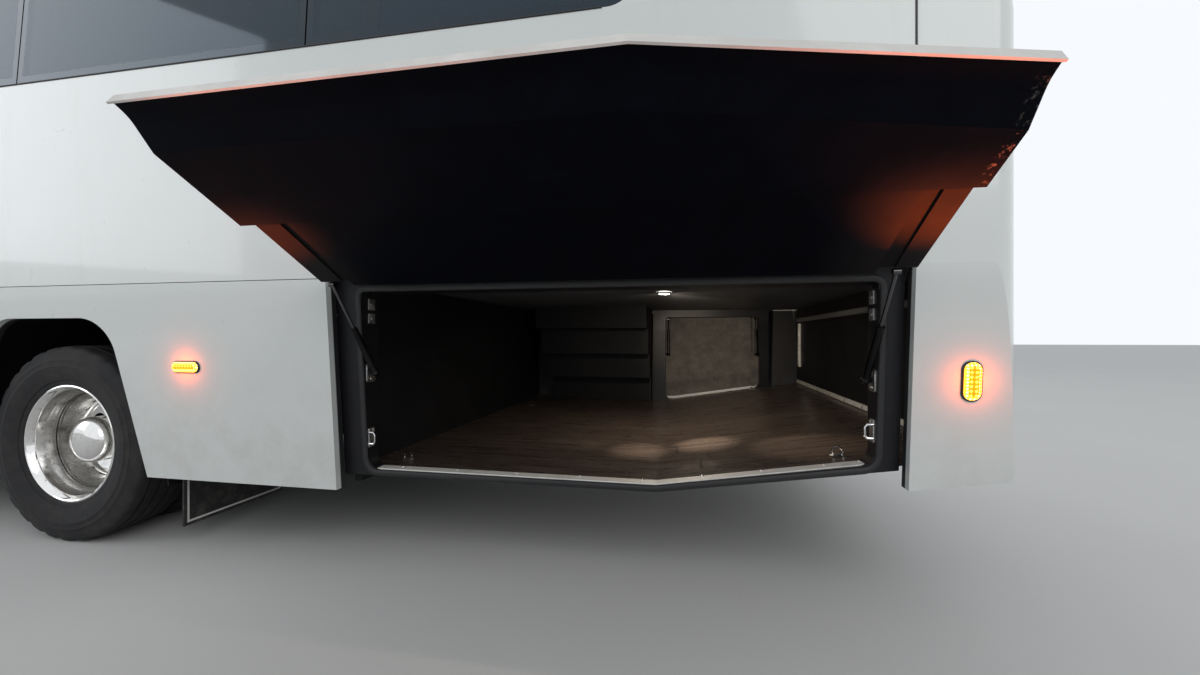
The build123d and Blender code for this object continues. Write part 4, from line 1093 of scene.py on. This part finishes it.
def bay_lamp():
    """The round lamp under the bay's roof, with its light and what of it falls on floor and walls."""
    lamp = Shape()
    rim = [(0.0, -0.002), (0.020, -0.003), (0.024, -0.006), (0.031, -0.007), (0.034, -0.003), (0.034, 0.002)]
    lamp.turned(rim[:3], BAY_LAMP, BAY_LAMP_AT, steps=32, axis=(0, 0, 1))
    lamp.turned(rim[2:], GALVANISED, BAY_LAMP_AT, steps=32, axis=(0, 0, 1))
    lamp.keep("bay_lamp", "body", "lamp_lens", ["lamps"])
    warm = (1.0, 0.84, 0.66)
    x, y, z = BAY_LAMP_AT
    small_light("bay_lamp_light", (x, y, z - 0.014), 5, warm, (-0.1, -0.35, -1), 0.06, True)
    # Each beam is its power, its way and the angle of its cone.
    beams = ((26, (-0.42, -1.35, -0.36), 62), (30, (0.089, 0.226, -0.64), 25),
             (46, (-0.177, 0.168, -0.614), 27), (34, (-0.527, 0.366, -0.56), 30))
    for number, (power, way, cone) in enumerate(beams):
        small_light("bay_lamp_beam_%d" % number, (x, y, z - 0.031), power, warm, way, 0.03, True, cone)


def marker(name, centre, half, side, flap_end):
    """An amber light in a slim black surround, with its glow on the paint and on the open flap."""
    shape = Shape()
    x, z = centre
    outline = oblong(x - half[0], x + half[0], z - half[1], z + half[1], min(half), 10)
    lay = on_side(side)
    shape.slab(outline, 0.006, lay, BLACK, 0.002)
    shape.rising(outline, ((0.004, 0.006), (0.005, 0.009), (0.008, 0.0115), (0.013, 0.013)), lay, MARKER_RING)
    shape.domed(outline, ((0.013, 0.013), (0.019, 0.0135)), lay, MARKER_FACE)
    shape.keep(name, "body", "lamp_lens", ["lamps"])
    if side > 0:
        start = lay(x, z, 0.05)
        aim = Vector((flap_end, 1.56, 1.20)) - start
        power, cone = 340 * aim.length ** 2, 30 / aim.length
        small_light(name + "_beam", start, power, (1.0, 0.13, 0.005), aim, 0.03, False, cone)
    small_light(name + "_halo", lay(x, z, 0.052), 0.15, (1.0, 0.11, 0.004), (0, -side, 0), 0.03)


def markers():
    """Amber markers ahead of and behind the rear flaps."""
    for name, side in SIDES:
        marker("side_marker_" + name, (-0.665, 0.7215), (0.060, 0.0225), side, -1.40)
        marker("corner_marker_" + name, (-3.219, 0.713), (0.025, 0.055), side, -2.96)


# Lamps


def on_hit(cast, start):
    """Lay (y, z, out) on a surface met by a ray along X that starts ahead of or behind the coach."""
    way = -1 if start > 0 else 1
    return lambda u, v, out: cast((start, u, v), (way, 0, 0)) - Vector((way * out, 0, 0))


def head_lamps():
    """Clear lenses over reflectors, turn lamps and a light bar."""
    lay = on_hit(surface_of("lamps"), AHEAD)
    shape = Shape()
    shape.taken("lamps", lambda c: c.x > 5.8, lambda face: HEAD_LENS if face.normal.x > 0.3 else BLACK)
    back = [face for face in shape.mesh.faces if face.normal.x < -0.3]
    bmesh.ops.delete(shape.mesh, geom=back, context="FACES")
    for _, side in SIDES:
        wall = ((0.69, 6.10), (0.98, 6.03), (1.08, 5.96), (1.165, 5.90))
        shape.skin([[(x, side * y, z) for y, x in wall] for z in (0.63, 0.75, 0.86)], BLACK)
        for y, z, r in ((0.79, 0.722, 0.054), (0.925, 0.740, 0.060)):
            mouth = Vector((min(lay(side * (y + d), z, 0).x for d in (-r, r)) - 0.004, side * y, z))
            bowl = [(0.0, -0.040), (0.3 * r, -0.038), (0.7 * r, -0.024), (0.96 * r, -0.003), (r, 0),
                    (1.08 * r, -0.002), (1.08 * r, -0.05)]
            shape.turned(bowl, BOWL, mouth, (1, 0, 0), 32)
            bulb = [(0, -0.012), (0.007, -0.015), (0.010, -0.022), (0.010, -0.040)]
            shape.turned(bulb, PLATE, mouth, (1, 0, 0), 16)
        turn_lamp = [(0, 0.006), (0.018, 0.004), (0.030, -0.004), (0.034, -0.02)]
        shape.turned(turn_lamp, AMBER_LENS, lay(side * 1.055, 0.765, -0.026), (1, 0.6 * side, 0), 24)
        shape.tube([lay(side * y, 0.664, -0.012) for y in (0.72, 0.80, 0.88, 0.96, 1.02)], 0.006, PLATE, 8)
    shape.keep("head_lamps", "body", "lamp_lens", ["lamps"])


def tail_lamps():
    """Tall lamps at the rear corners, red reflectors below, a brake lamp over the window and roof markers."""
    shape = Shape()
    shape.taken("lamps", lambda c: c.x < -3.2 and abs(c.y) < 1.14 and c.z > 0.69,
                lambda face: TAIL_LENS if face.normal.x < -0.2 else BLACK)
    shape.keep("tail_lamps", "body", "lamp_lens", ["lamps"])
    extra = Shape()
    lay = on_hit(surface_of("rear_cap"), BEHIND)
    extra.panel(spread(-0.25, 0.05, 11), [2.785, 2.80, 2.815], 0.009, lay, RED_LENS)
    roof_lay = on_hit(surface_of("roof"), BEHIND)
    nose_lay = on_hit(surface_of("roof"), AHEAD)
    dome = [(0, 0.016), (0.012, 0.014), (0.022, 0.006), (0.026, -0.004)]
    for _, side in SIDES:
        extra.turned(dome, RED_LENS, lay(side * 0.98, 0.585, 0), (-1, 0, 0), 24)
        extra.turned(dome, RED_LENS, roof_lay(side * 0.86, 2.96, 0), (-1, 0, 0.2), 20)
        extra.turned(dome, AMBER_LENS, nose_lay(side * 0.86, 2.96, 0), (1, 0, 0.3), 20)
    extra.keep("rear_and_roof_lamps", "body", "lamp_lens")


def side_lamps():
    """Small amber reflectors low along the sides, and a turn lamp behind the right front wheel."""
    shape = Shape()
    for _, side in SIDES:
        lay = on_side(side)
        for x in (0.70, 2.78, 3.70, 5.28):
            if side < 0 and x > 5:
                continue
            outline = oblong(x - 0.045, x + 0.045, 0.395, 0.425, 0.006, 3)
            shape.domed(outline, ((0, -0.001), (0, 0.004), (0.003, 0.007), (0.010, 0.008)), lay, AMBER_LENS)
    dome = [(0, 0.017), (0.015, 0.014), (0.026, 0.006), (0.031, -0.002)]
    shape.turned(dome, AMBER_LENS, on_side(-1)(3.86, 0.93, 0), (0, -1, 0), 24)
    shape.keep("side_reflectors", "body", "lamp_lens")


# Front and rear


def front_trim():
    """Bumper seam, air inlet, fog lamps, blank plate and the grille on the service flap."""
    lay = on_hit(surface_of("front_face"), AHEAD)
    shape = Shape()
    shape.tube([lay(y, 0.565, 0) for y in spread(-1.02, 0.06, 35)], 0.0035, RUBBER, 6)
    inlet = spread(-0.62, 0.0886, 15)
    # A flat black sheet behind the bars stands in for the shade inside the inlet: painted shade.
    shape.panel(inlet, [0.405, 0.44, 0.48, 0.525], 0.002, lay, BLACK_LINING_AND_SHADE_SHEET)
    bar = [(-0.004, -0.006), (0.010, -0.004), (0.010, 0.003), (-0.004, 0.006)]
    for z in (0.425, 0.465, 0.505):
        shape.swept([lay(y, z, 0.004) for y in inlet[1:-1]], [(-a, b) for a, b in bar], BLACK)
    plate = oblong(-0.26, 0.26, 0.635, 0.745, 0.008, 4)
    shape.slab([(p.x * 1.02, 0.69 + (p.y - 0.69) * 1.09) for p in plate], 0.006, on_x(NOSE_X - 0.001), BLACK)
    shape.slab(plate, 0.009, on_x(NOSE_X - 0.001), PLATE, 0.001)
    for _, side in SIDES:
        place = lay(side * 0.82, 0.468, 0)
        out = (1, 0.235 * side, 0)
        ring = [(0.064, -0.006), (0.064, 0.006), (0.058, 0.010), (0.051, 0.006), (0.049, -0.012)]
        shape.turned(ring, BLACK, place, out, 32)
        shape.turned([(0, -0.004), (0.03, 0.0), (0.048, 0.004)], BOWL, place, out, 32)
        shape.turned([(0, 0.012), (0.02, 0.011), (0.04, 0.008), (0.050, 0.004)], CLEAR_LENS, place, out, 32)
    shape.keep("front_trim", "body", "black_trim")

    flap_lay = on_hit(surface_of("front_flap"), AHEAD)
    grille = Shape()
    wide = spread(-0.54, 0.0772, 15)
    # A flat black sheet behind the slats stands in for the shade inside the grille: painted shade.
    grille.panel(wide, [0.885, 0.93, 0.98, 1.03], 0.002, flap_lay, BLACK_LINING_AND_SHADE_SHEET)
    slat = [(0.004, -0.008), (-0.012, -0.004), (-0.012, 0.0), (0.004, 0.004)]
    for z in spread(0.905, 0.027, 5):
        grille.swept([flap_lay(y, z, 0.004) for y in wide[1:-1]], slat, BLACK)
    frame_path = [flap_lay(y, 0.885, 0.003) for y in wide] + [flap_lay(y, 1.03, 0.003) for y in wide[::-1]]
    grille.tube(frame_path, 0.005, CHROME_TRIM, 8, (0.3, 0, 1), closed=True)
    grille.keep("service_flap_grille", "front_flap", "black_trim")


def rear_trim():
    """Plate recess with a blank plate, handle, locks and fog lamps on the rear hatch."""
    shape = Shape()
    lay = on_x(TAIL_X + 0.001, -1)
    shape.slab(oblong(-0.31, 0.31, 0.90, 1.09, 0.02, 5), 0.004, lay, BLACK, 0.002)
    shape.slab(oblong(-0.26, 0.26, 0.94, 1.05, 0.008, 4), 0.008, lay, PLATE, 0.001)
    for y in (-0.20, 0.20):
        shape.box((TAIL_X - 0.022, y - 0.022, 1.062), (TAIL_X, y + 0.022, 1.082), BLACK)
    handle = [(-0.10, -0.002), (-0.09, -0.030), (0.09, -0.030), (0.10, -0.002)]
    shape.tube([(TAIL_X + out, y, 0.845) for y, out in handle], 0.007, BLACK, 10)
    hatch = on_hit(surface_of("rear_hatch"), BEHIND)
    lock = [(0, 0.004), (0.010, 0.004), (0.014, 0.002), (0.016, -0.001)]
    fog_lamp = [(0, 0.010), (0.02, 0.009), (0.036, 0.005), (0.040, -0.002)]
    for _, side in SIDES:
        shape.turned(lock, CHROME_TRIM, hatch(side * 0.74, 0.56, 0), (-1, 0, 0), 20)
        shape.turned(fog_lamp, RED_LENS, hatch(side * 0.62, 0.62, 0), (-1, 0, 0), 32)
    shape.keep("rear_hatch_trim", "rear_hatch", "black_trim")


def wiper_arms():
    """Two wipers at rest on the windscreen."""
    screen = on_hit(surface_of("windscreen"), AHEAD)
    shape = Shape()
    lip = [(-0.004, -0.003), (0.004, -0.003), (0.0015, 0.008), (-0.0015, 0.008)]
    spine = [(-0.005, -0.003), (0.005, -0.003), (0.003, 0.004), (-0.003, 0.004)]
    for y in (-0.18, 0.62):
        blade = [screen(y - 0.06 + 0.016 * i, SCREEN_Z + 0.06 + 0.074 * i, 0.010) for i in range(11)]
        shape.swept(blade, lip, RUBBER, (1, 0, 0))
        shape.swept([p + Vector((0.012, 0, 0)) for p in blade], spine, BLACK, (1, 0, 0))
        pivot = Vector((NOSE_X + 0.004, y + 0.20, SCREEN_Z - 0.022))
        cap = [(0, 0.030), (0.012, 0.030), (0.018, 0.024), (0.020, 0.0)]
        shape.turned(cap, BLACK, pivot, (1, 0, 0.15), 20)
        middle = blade[5] + Vector((0.030, 0, 0))
        bend = pivot.lerp(middle, 0.35) + Vector((0.012, 0, 0))
        joint = blade[5] + Vector((0.012, 0.004, 0.02))
        shape.tube([pivot + Vector((0.024, 0, 0)), bend, middle, joint], 0.007, BLACK, 8)
    shape.keep("wiper_arms", "body", "black_trim", ["wipers"])


MIRROR_ARM = ((5.80, 1.04, 2.965), (5.93, 1.10, 2.975), (6.12, 1.19, 2.955), (6.27, 1.265, 2.915),
              (6.325, 1.288, 2.860), (6.330, 1.290, 2.78), (6.330, 1.290, 2.53))


def mirrors():
    """Mirror heads on arms from the roof corners, two glasses each."""
    for name, side in SIDES:
        shape = Shape()
        outline = oblong(1.182 * side, 1.398 * side, 2.085, 2.555, 0.05, 6, 0.07)
        steps = ((0.014, 6.276), (0.006, 6.2705), (0, 6.276), (0, 6.325), (0.008, 6.352), (0.022, 6.372),
                 (0.042, 6.384))
        rows = [[Vector((x, *p)) for p in shrunk(outline, inset)] for inset, x in steps]
        shape.skin(rows, BLACK, around=True, caps=True)
        for low, high in ((2.235, 2.525), (2.115, 2.215)):
            glass_edge = oblong(1.208 * side, 1.372 * side, low, high, 0.02, 5, 0.03)
            shape.slab(glass_edge, 0.003, on_x(6.2765, -1), MIRROR, 0.001)
        arm = [(x, y * side, z) for x, y, z in MIRROR_ARM]
        shape.tube(smoothed(arm), 0.019, BLACK, 14, (0, 0.2, 1))
        foot = [(0.034, -0.02), (0.036, 0.006), (0.024, 0.016), (0.019, 0.03)]
        shape.turned(foot, BLACK, arm[0], (0.9, 0.35 * side, 0.1), 20)
        shape.keep("mirror_" + name, "body", "black_trim", ["mirrors"])


def smoothed(points, rounds=2):
    """A path with its corners cut."""
    points = [Vector(p) for p in points]
    for _ in range(rounds):
        cut = [points[0]]
        for a, b in zip(points, points[1:]):
            cut += [a.lerp(b, 0.25), a.lerp(b, 0.75)]
        points = cut + [points[-1]]
    return points


# Doors, flaps and roof


SMALL_LOCK = [(0, 0.004), (0.009, 0.004), (0.012, -0.001)]


def door_trim(name, x_range, handle_x):
    """Rubber round a door leaf, its handle and lock."""
    shape = Shape()
    edge = oblong(x_range[0] + 0.004, x_range[1] - 0.004, 0.342, 2.858, 0.02, 4)
    lay = on_side(-1)
    shape.tube([lay(*p, -0.002) for p in dense(edge, 0.12)], 0.0045, RUBBER, 6, (0, 1, 0), closed=True)
    cup = oblong(handle_x - 0.07, handle_x + 0.07, 1.02, 1.09, 0.02, 5)
    rim = ((0, -0.001), (0.001, 0.004), (0.006, 0.006), (0.012, 0.002), (0.020, 0.0005))
    shape.domed(cup, rim, lay, BLACK)
    grip = [(-0.055, 0.004), (-0.045, 0.020), (0.045, 0.020), (0.055, 0.004)]
    shape.tube([lay(handle_x + x, 1.055, out) for x, out in grip], 0.007, BLACK, 10)
    shape.turned(SMALL_LOCK, CHROME_TRIM, lay(handle_x, 0.985, 0), (0, -1, 0), 18)
    shape.keep(name + "_trim", name, "black_rubber")


def dense(outline, step):
    """An outline with points added so that none lie further apart than a step."""
    points = []
    for index, here in enumerate(outline):
        ahead = outline[(index + 1) % len(outline)]
        count = max(1, math.ceil((ahead - here).length / step))
        points += [here.lerp(ahead, i / count) for i in range(count)]
    return points


def turned_open(place):
    """Where a point of the shut left flap goes when it is open."""
    out, up = place[1] - FLAP_HINGE[0], place[2] - FLAP_HINGE[1]
    cos, sin = math.cos(FLAP_OPEN), math.sin(FLAP_OPEN)
    return Vector((place[0], FLAP_HINGE[0] + out * cos - up * sin, FLAP_HINGE[1] + out * sin + up * cos))


def flap_trim():
    """Edging along the lip of each rear flap and its round locks; locks on the mid flaps."""
    for name, side, x_range in REAR_BAYS:
        shape = Shape()
        lay = on_side(side)
        out = (0, side, 0)
        front = max(x_range[1], KINK_X + 0.001)
        lip = [(front - 0.002, FLAP_LOW), (KINK_X, FLAP_LOW),
               (x_range[0] + 0.002, FLAP_LOW + climb(x_range[0]))]
        section = [(0.0015, -0.002), (0.0015, 0.003), (-0.0245, 0.003), (-0.0245, -0.002)]
        shape.swept([lay(x, z, 0) for x, z in lip], [(a * side, b) for a, b in section], WHITE_TRIM)
        for x in (x_range[0] + 0.14, x_range[1] - 0.14):
            shape.lock(lay(x, FLAP_LOW + 0.085 + climb(x), 0), out)
        if side > 0:
            for vert in shape.mesh.verts:
                vert.co = turned_open(vert.co)
        shape.keep("luggage_flap_trim_" + name, "luggage_flap_" + name, "white_paint")
        locks = Shape()
        for x in (0.98, 1.75, 2.52):
            locks.lock(lay(x, 0.41, 0), out)
        locks.keep("locker_locks_" + name, "locker_flap_" + name, "chromed_steel")


def fan(shape, centre):
    """A fan in its ring, under round guard wires."""
    up = (0, 0, 1)
    ring = [(0.212, -0.006), (0.212, 0.012), (0.222, 0.016), (0.236, 0.010), (0.240, -0.006)]
    # A black disc under the blades stands in for the shade in the fan's opening: painted shade.
    shape.turned([(0.0, 0.002), (0.215, 0.002)], BLACK_LINING_AND_SHADE_SHEET, centre, up, 40)
    shape.turned(ring, UNIT, centre, up, 48)
    shape.turned([(0.0, 0.014), (0.045, 0.013), (0.052, 0.009), (0.052, 0.002)], UNIT, centre, up, 24)
    for radius in (0.085, 0.125, 0.165, 0.195):
        wire = [(radius - 0.003, 0.010), (radius, 0.013), (radius + 0.003, 0.010), (radius, 0.007)]
        shape.turned(wire, BLACK, centre, up, 40)
    low, high = Vector((0, 0, 0.0025)), Vector((0, 0, 0.006))
    for angle in turns(7):
        way = Vector((math.cos(angle), math.sin(angle), 0))
        aside = Vector((-way.y, way.x, 0)) * 0.03
        roots = [centre + way * r for r in (0.05, 0.12, 0.20)]
        shape.skin([[root - aside + low, root + aside * 1.2 + high] for root in roots], DASH)


def roof_trim():
    """Louvres and fans of the air unit; raised lids of the roof hatches."""
    shape = Shape()
    top = on_hit_down(surface_of("roof_air_unit"))
    for x in (-1.42, -0.72):
        for y in (-0.38, 0.38):
            fan(shape, top(x, y, 0))
    for _, side in SIDES:
        for x in spread(-1.62, 0.14, 11):
            for y, low in ((side * 0.836, 3.225), (side * 0.832, 3.255)):
                shape.box((x, y - 0.006, low), (x + 0.10, y + 0.006, low + 0.015), BLACK, 0.002)
    shape.keep("air_unit_grilles", "body", "black_trim")
    for name, rear, front in (("front", 3.93, 4.62), ("rear", 1.08, 1.77)):
        lid = Shape()
        lay = on_hit_down(surface_of("roof_hatch_" + name))
        edge = oblong(rear, front, -0.27, 0.27, 0.06, 5)
        lid.domed(dense(edge, 0.06), ((0, -0.001), (0.002, 0.010), (0.012, 0.018), (0.045, 0.024)), lay, UNIT)
        lid.keep("roof_hatch_lid_" + name, "roof_hatch_" + name, "white_paint")


def on_hit_down(cast):
    """Lay (x, y, out) on a surface met from above."""
    return lambda u, v, out: cast((u, v, 5), (0, 0, -1)) + Vector((0, 0, out))


def side_seams():
    """Rubber lines along the foot and head of the windows and down the rear seam of the body side."""
    shape = Shape()
    for _, side in SIDES:
        lay = on_side(side)
        rear, front = (-2.22, 4.98) if side > 0 else (-1.43, 4.975)
        for z, radius in ((WINDOW_Z, 0.003), (CANT_Z, 0.0035)):
            line = [lay(rear + (front - rear) * i / 12, z, 0.0005) for i in range(13)]
            shape.tube(line, radius, RUBBER, 6)
        seam = [lay(SEAM_X, z, 0.0005) for z in (BELT_Z, 1.4, WINDOW_Z, 2.3, CANT_Z)]
        shape.tube(seam, 0.003, RUBBER, 6, (0, 1, 0))
    shape.keep("side_seams", "body", "black_rubber")


def filler_flaps():
    """Fuel and urea filler flaps on the right side."""
    shape = Shape()
    lay = on_side(-1)
    z = 0.66
    for x, half in ((3.05, 0.11), (3.40, 0.085)):
        outline = oblong(x - half, x + half, z - half, z + half, 0.02, 5)
        shape.tube([lay(*p, 0.0) for p in outline], 0.0022, RUBBER, 6, (0, 1, 0), closed=True)
        cap = [(0, 0.003), (0.009, 0.003), (0.012, -0.001)]
        shape.turned(cap, CHROME_TRIM, lay(x + half - 0.03, z, 0), (0, -1, 0), 18)
    shape.keep("filler_flap_trim", "body", "black_rubber")


# Inside the bay and the saloon


def bay_fittings():
    """Rail, base strip and bracket on the rear wall of the bay, and lashing rings in its floor."""
    shape = Shape()
    wall = -3.275
    shape.box((wall, -1.00, 0.940), (wall + 0.022, 1.03, 0.968), GREY_LINING, 0.004)
    shape.box((wall, -1.00, 0.928), (wall + 0.006, 1.03, 0.980), BLACK_LINING_AND_SHADE_SHEET, 0.002)
    shape.box((wall, -1.03, 0.4995), (wall + 0.012, 1.05, 0.522), SILL, 0.002)
    for y in spread(-0.96, 0.245, 9):
        shape.screw((wall + 0.012, y, 0.511), (1, 0, 0), GALVANISED, 0.006, 0.004)
    shape.box((wall, -0.985, 0.62), (wall + 0.016, -0.945, 0.93), SILL, 0.003)
    for z in (0.66, 0.77, 0.88):
        shape.screw((wall + 0.016, -0.965, z), (1, 0, 0), GALVANISED, 0.008, 0.006)
    for x, y in ((-1.42, -0.50), (-2.95, 0.96), (-2.95, -0.96), (-1.42, 0.96)):
        z = 0.361 + climb(x)
        shape.turned([(0, 0.003), (0.020, 0.003), (0.024, 0)], GALVANISED, (x, y, z), (0, 0, 1), 20)
        ring = [Vector((x + 0.016 * math.cos(a), y, z + 0.012 + 0.016 * math.sin(a))) for a in turns(16)]
        shape.tube(ring, 0.003, ROD, 6, (0, 1, 0), closed=True)
    shape.keep("bay_fittings", "body", "bare_aluminium")


SEAT_Z = 1.53
ROWS_LEFT = (3.85, 3.08, 2.31, 1.54, 0.77, 0.0, -0.77, -1.54, -2.31)
ROWS_RIGHT = ROWS_LEFT[:7]
SEAT_ROWS = ((ROWS_LEFT, 1), (ROWS_RIGHT, -1))
PLACE = 0.43
AISLE = 0.5
DRIVER = (5.01, 0.665)
# Cushion sections are (x, low, high), back sections (z, front, rear), from a seat's own point.
CUSHION_SECTIONS = ((-0.205, -0.098, -0.030), (-0.10, -0.104, -0.020), (0.08, -0.104, -0.012),
                    (0.20, -0.100, -0.014), (0.226, -0.088, -0.030))
BACK_SECTIONS = ((-0.06, -0.230, -0.238), (0.05, -0.232, -0.275), (0.30, -0.254, -0.325),
                 (0.55, -0.280, -0.362), (0.66, -0.304, -0.380))
# Sewn channels are (axis, place, width, depth).
CUSHION_CHANNELS = ((0, 0.09, 0.005, 0.004), (1, 0.13, 0.005, 0.003), (1, -0.13, 0.005, 0.003))
BACK_CHANNELS = ((1, 0.12, 0.006, 0.004), (1, -0.12, 0.006, 0.004), (2, 0.46, 0.006, 0.004))


def inflated(name, rows, cap, channels):
    """A cushion blown up as cloth from a closed form, then sewn along its channels and thinned out."""
    shape = Shape()
    shape.skin(rows, CLOTH, around=True, caps=True)
    piece = shape.keep(name)
    shaped(piece, ("REMESH", {"mode": "VOXEL", "voxel_size": 0.006}))
    start = [vert.co.copy() for vert in piece.data.vertices]
    settings = piece.modifiers.new("cloth", "CLOTH").settings
    settings.use_pressure = True
    settings.uniform_pressure_force = 4
    settings.effector_weights.gravity = 0
    settings.quality = 4
    scene = bpy.context.scene
    for number in range(1, 21):
        scene.frame_set(number)
    graph = bpy.context.evaluated_depsgraph_get()
    blown = [vert.co.copy() for vert in piece.evaluated_get(graph).data.vertices]
    piece.modifiers.clear()
    scene.frame_set(1)
    for vert, first, last in zip(piece.data.vertices, start, blown):
        move = last - first
        vert.co = first + move * min(1, cap / max(move.length, 1e-6))
    for vert, first in zip(piece.data.vertices, start):
        for axis, place, width, depth in channels:
            off = (first[axis] - place) / width
            if abs(off) < 3:
                vert.co -= vert.normal * depth * math.exp(-off * off)
    shaped(piece, ("DECIMATE", {"ratio": 0.22}), ("SMOOTH", {"factor": 0.5, "iterations": 2}))
    data = piece.data
    bpy.data.objects.remove(piece)
    data.polygons.foreach_set("use_smooth", [True] * len(data.polygons))
    return data


def ring_of(half_wide, low, high, radius, place):
    """A rounded ring of points for a cushion section, laid by a rule."""
    return [place(p.x, p.y) for p in oblong(-half_wide, half_wide, low, high, radius, 4)]


def seats():
    """Padded cushions and backs, each place a piece of its own."""
    half = PLACE / 2 - 0.012
    cushion_rows = [ring_of(half, low, high, 0.022, lambda u, v, x=x: Vector((x, u, v)))
                    for x, low, high in CUSHION_SECTIONS]
    cushion = inflated("cushion_form", cushion_rows, 0.009, CUSHION_CHANNELS)
    back_rows = [ring_of(half, rear, front, 0.02 if z > 0 else 0.004, lambda u, v, z=z: Vector((v, u, z)))
                 for z, front, rear in BACK_SECTIONS]
    back = inflated("back_form", back_rows, 0.007, BACK_CHANNELS)

    places = [(x, side * (AISLE / 2 + PLACE * (k + 0.5))) for rows, side in SEAT_ROWS for x in rows
              for k in (0, 1)]
    places += [(-2.825, -1.08 + 0.216 + 0.432 * k) for k in range(5)] + [DRIVER]
    for number, (x, y) in enumerate(places):
        for kind, data in (("cushion", cushion), ("back", back)):
            piece = bpy.data.objects.new("seat_%s_%02d" % (kind, number), data)
            bpy.context.scene.collection.objects.link(piece)
            piece.location = (x, y, SEAT_Z)
            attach(piece, "body")
            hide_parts("seat_cushions" if kind == "cushion" else "seat_backs")


def cabin_details():
    """Arm rests and grab handles of the seats, and the instruments at the driver's place."""
    shape = Shape()
    pad = [(-0.018, -0.012), (0.018, -0.012), (0.020, 0.008), (0.010, 0.014), (-0.010, 0.014),
           (-0.020, 0.008)]
    arm = ((-0.24, 0.17), (-0.20, 0.20), (0.10, 0.20), (0.14, 0.18))
    grip = ((-0.37, 0.30, 2.19), (-0.385, 0.30, 2.235), (-0.385, 0.42, 2.235), (-0.37, 0.42, 2.19))
    for rows, side in SEAT_ROWS:
        for x in rows:
            shape.swept([(x + along, side * 0.236, SEAT_Z + up) for along, up in arm], pad, BLACK)
            handle = smoothed([(x + along, side * y, z) for along, y, z in grip], 1)
            shape.tube(handle, 0.011, BLACK, 8, (1, 0, 0))
    shape.keep("seat_arms_and_grips", "body", "black_trim")
    desk = Shape()
    low = 1.435
    screen = oblong(0.44, 0.84, low, 1.52, 0.02, 5, 0.03)
    desk.slab(screen, 0.01, lambda u, v, out: Vector((5.60 + (v - low) * 1.1 - out, u, v)), BLACK, 0.003)
    for y, r in ((0.55, 0.036), (0.64, 0.028), (0.73, 0.036)):
        bezel = [(r, 0.0), (r, 0.004), (r * 0.9, 0.006), (r * 0.86, 0.002)]
        desk.turned(bezel, CHROME_TRIM, (5.632, y, 1.476), (-0.74, 0, 0.67), 24)
    desk.keep("instruments", "body", "black_trim")


def main():
    stage()
    dress_solids()
    wheels()
    bay_trim()
    bay_lamp()
    markers()
    head_lamps()
    tail_lamps()
    side_lamps()
    front_trim()
    rear_trim()
    wiper_arms()
    mirrors()
    door_trim("front_door", FRONT_DOOR_X, 5.13)
    door_trim("rear_door", REAR_DOOR_X, -2.10)
    flap_trim()
    roof_trim()
    side_seams()
    filler_flaps()
    bay_fittings()
    cabin_details()
    seats()


main()
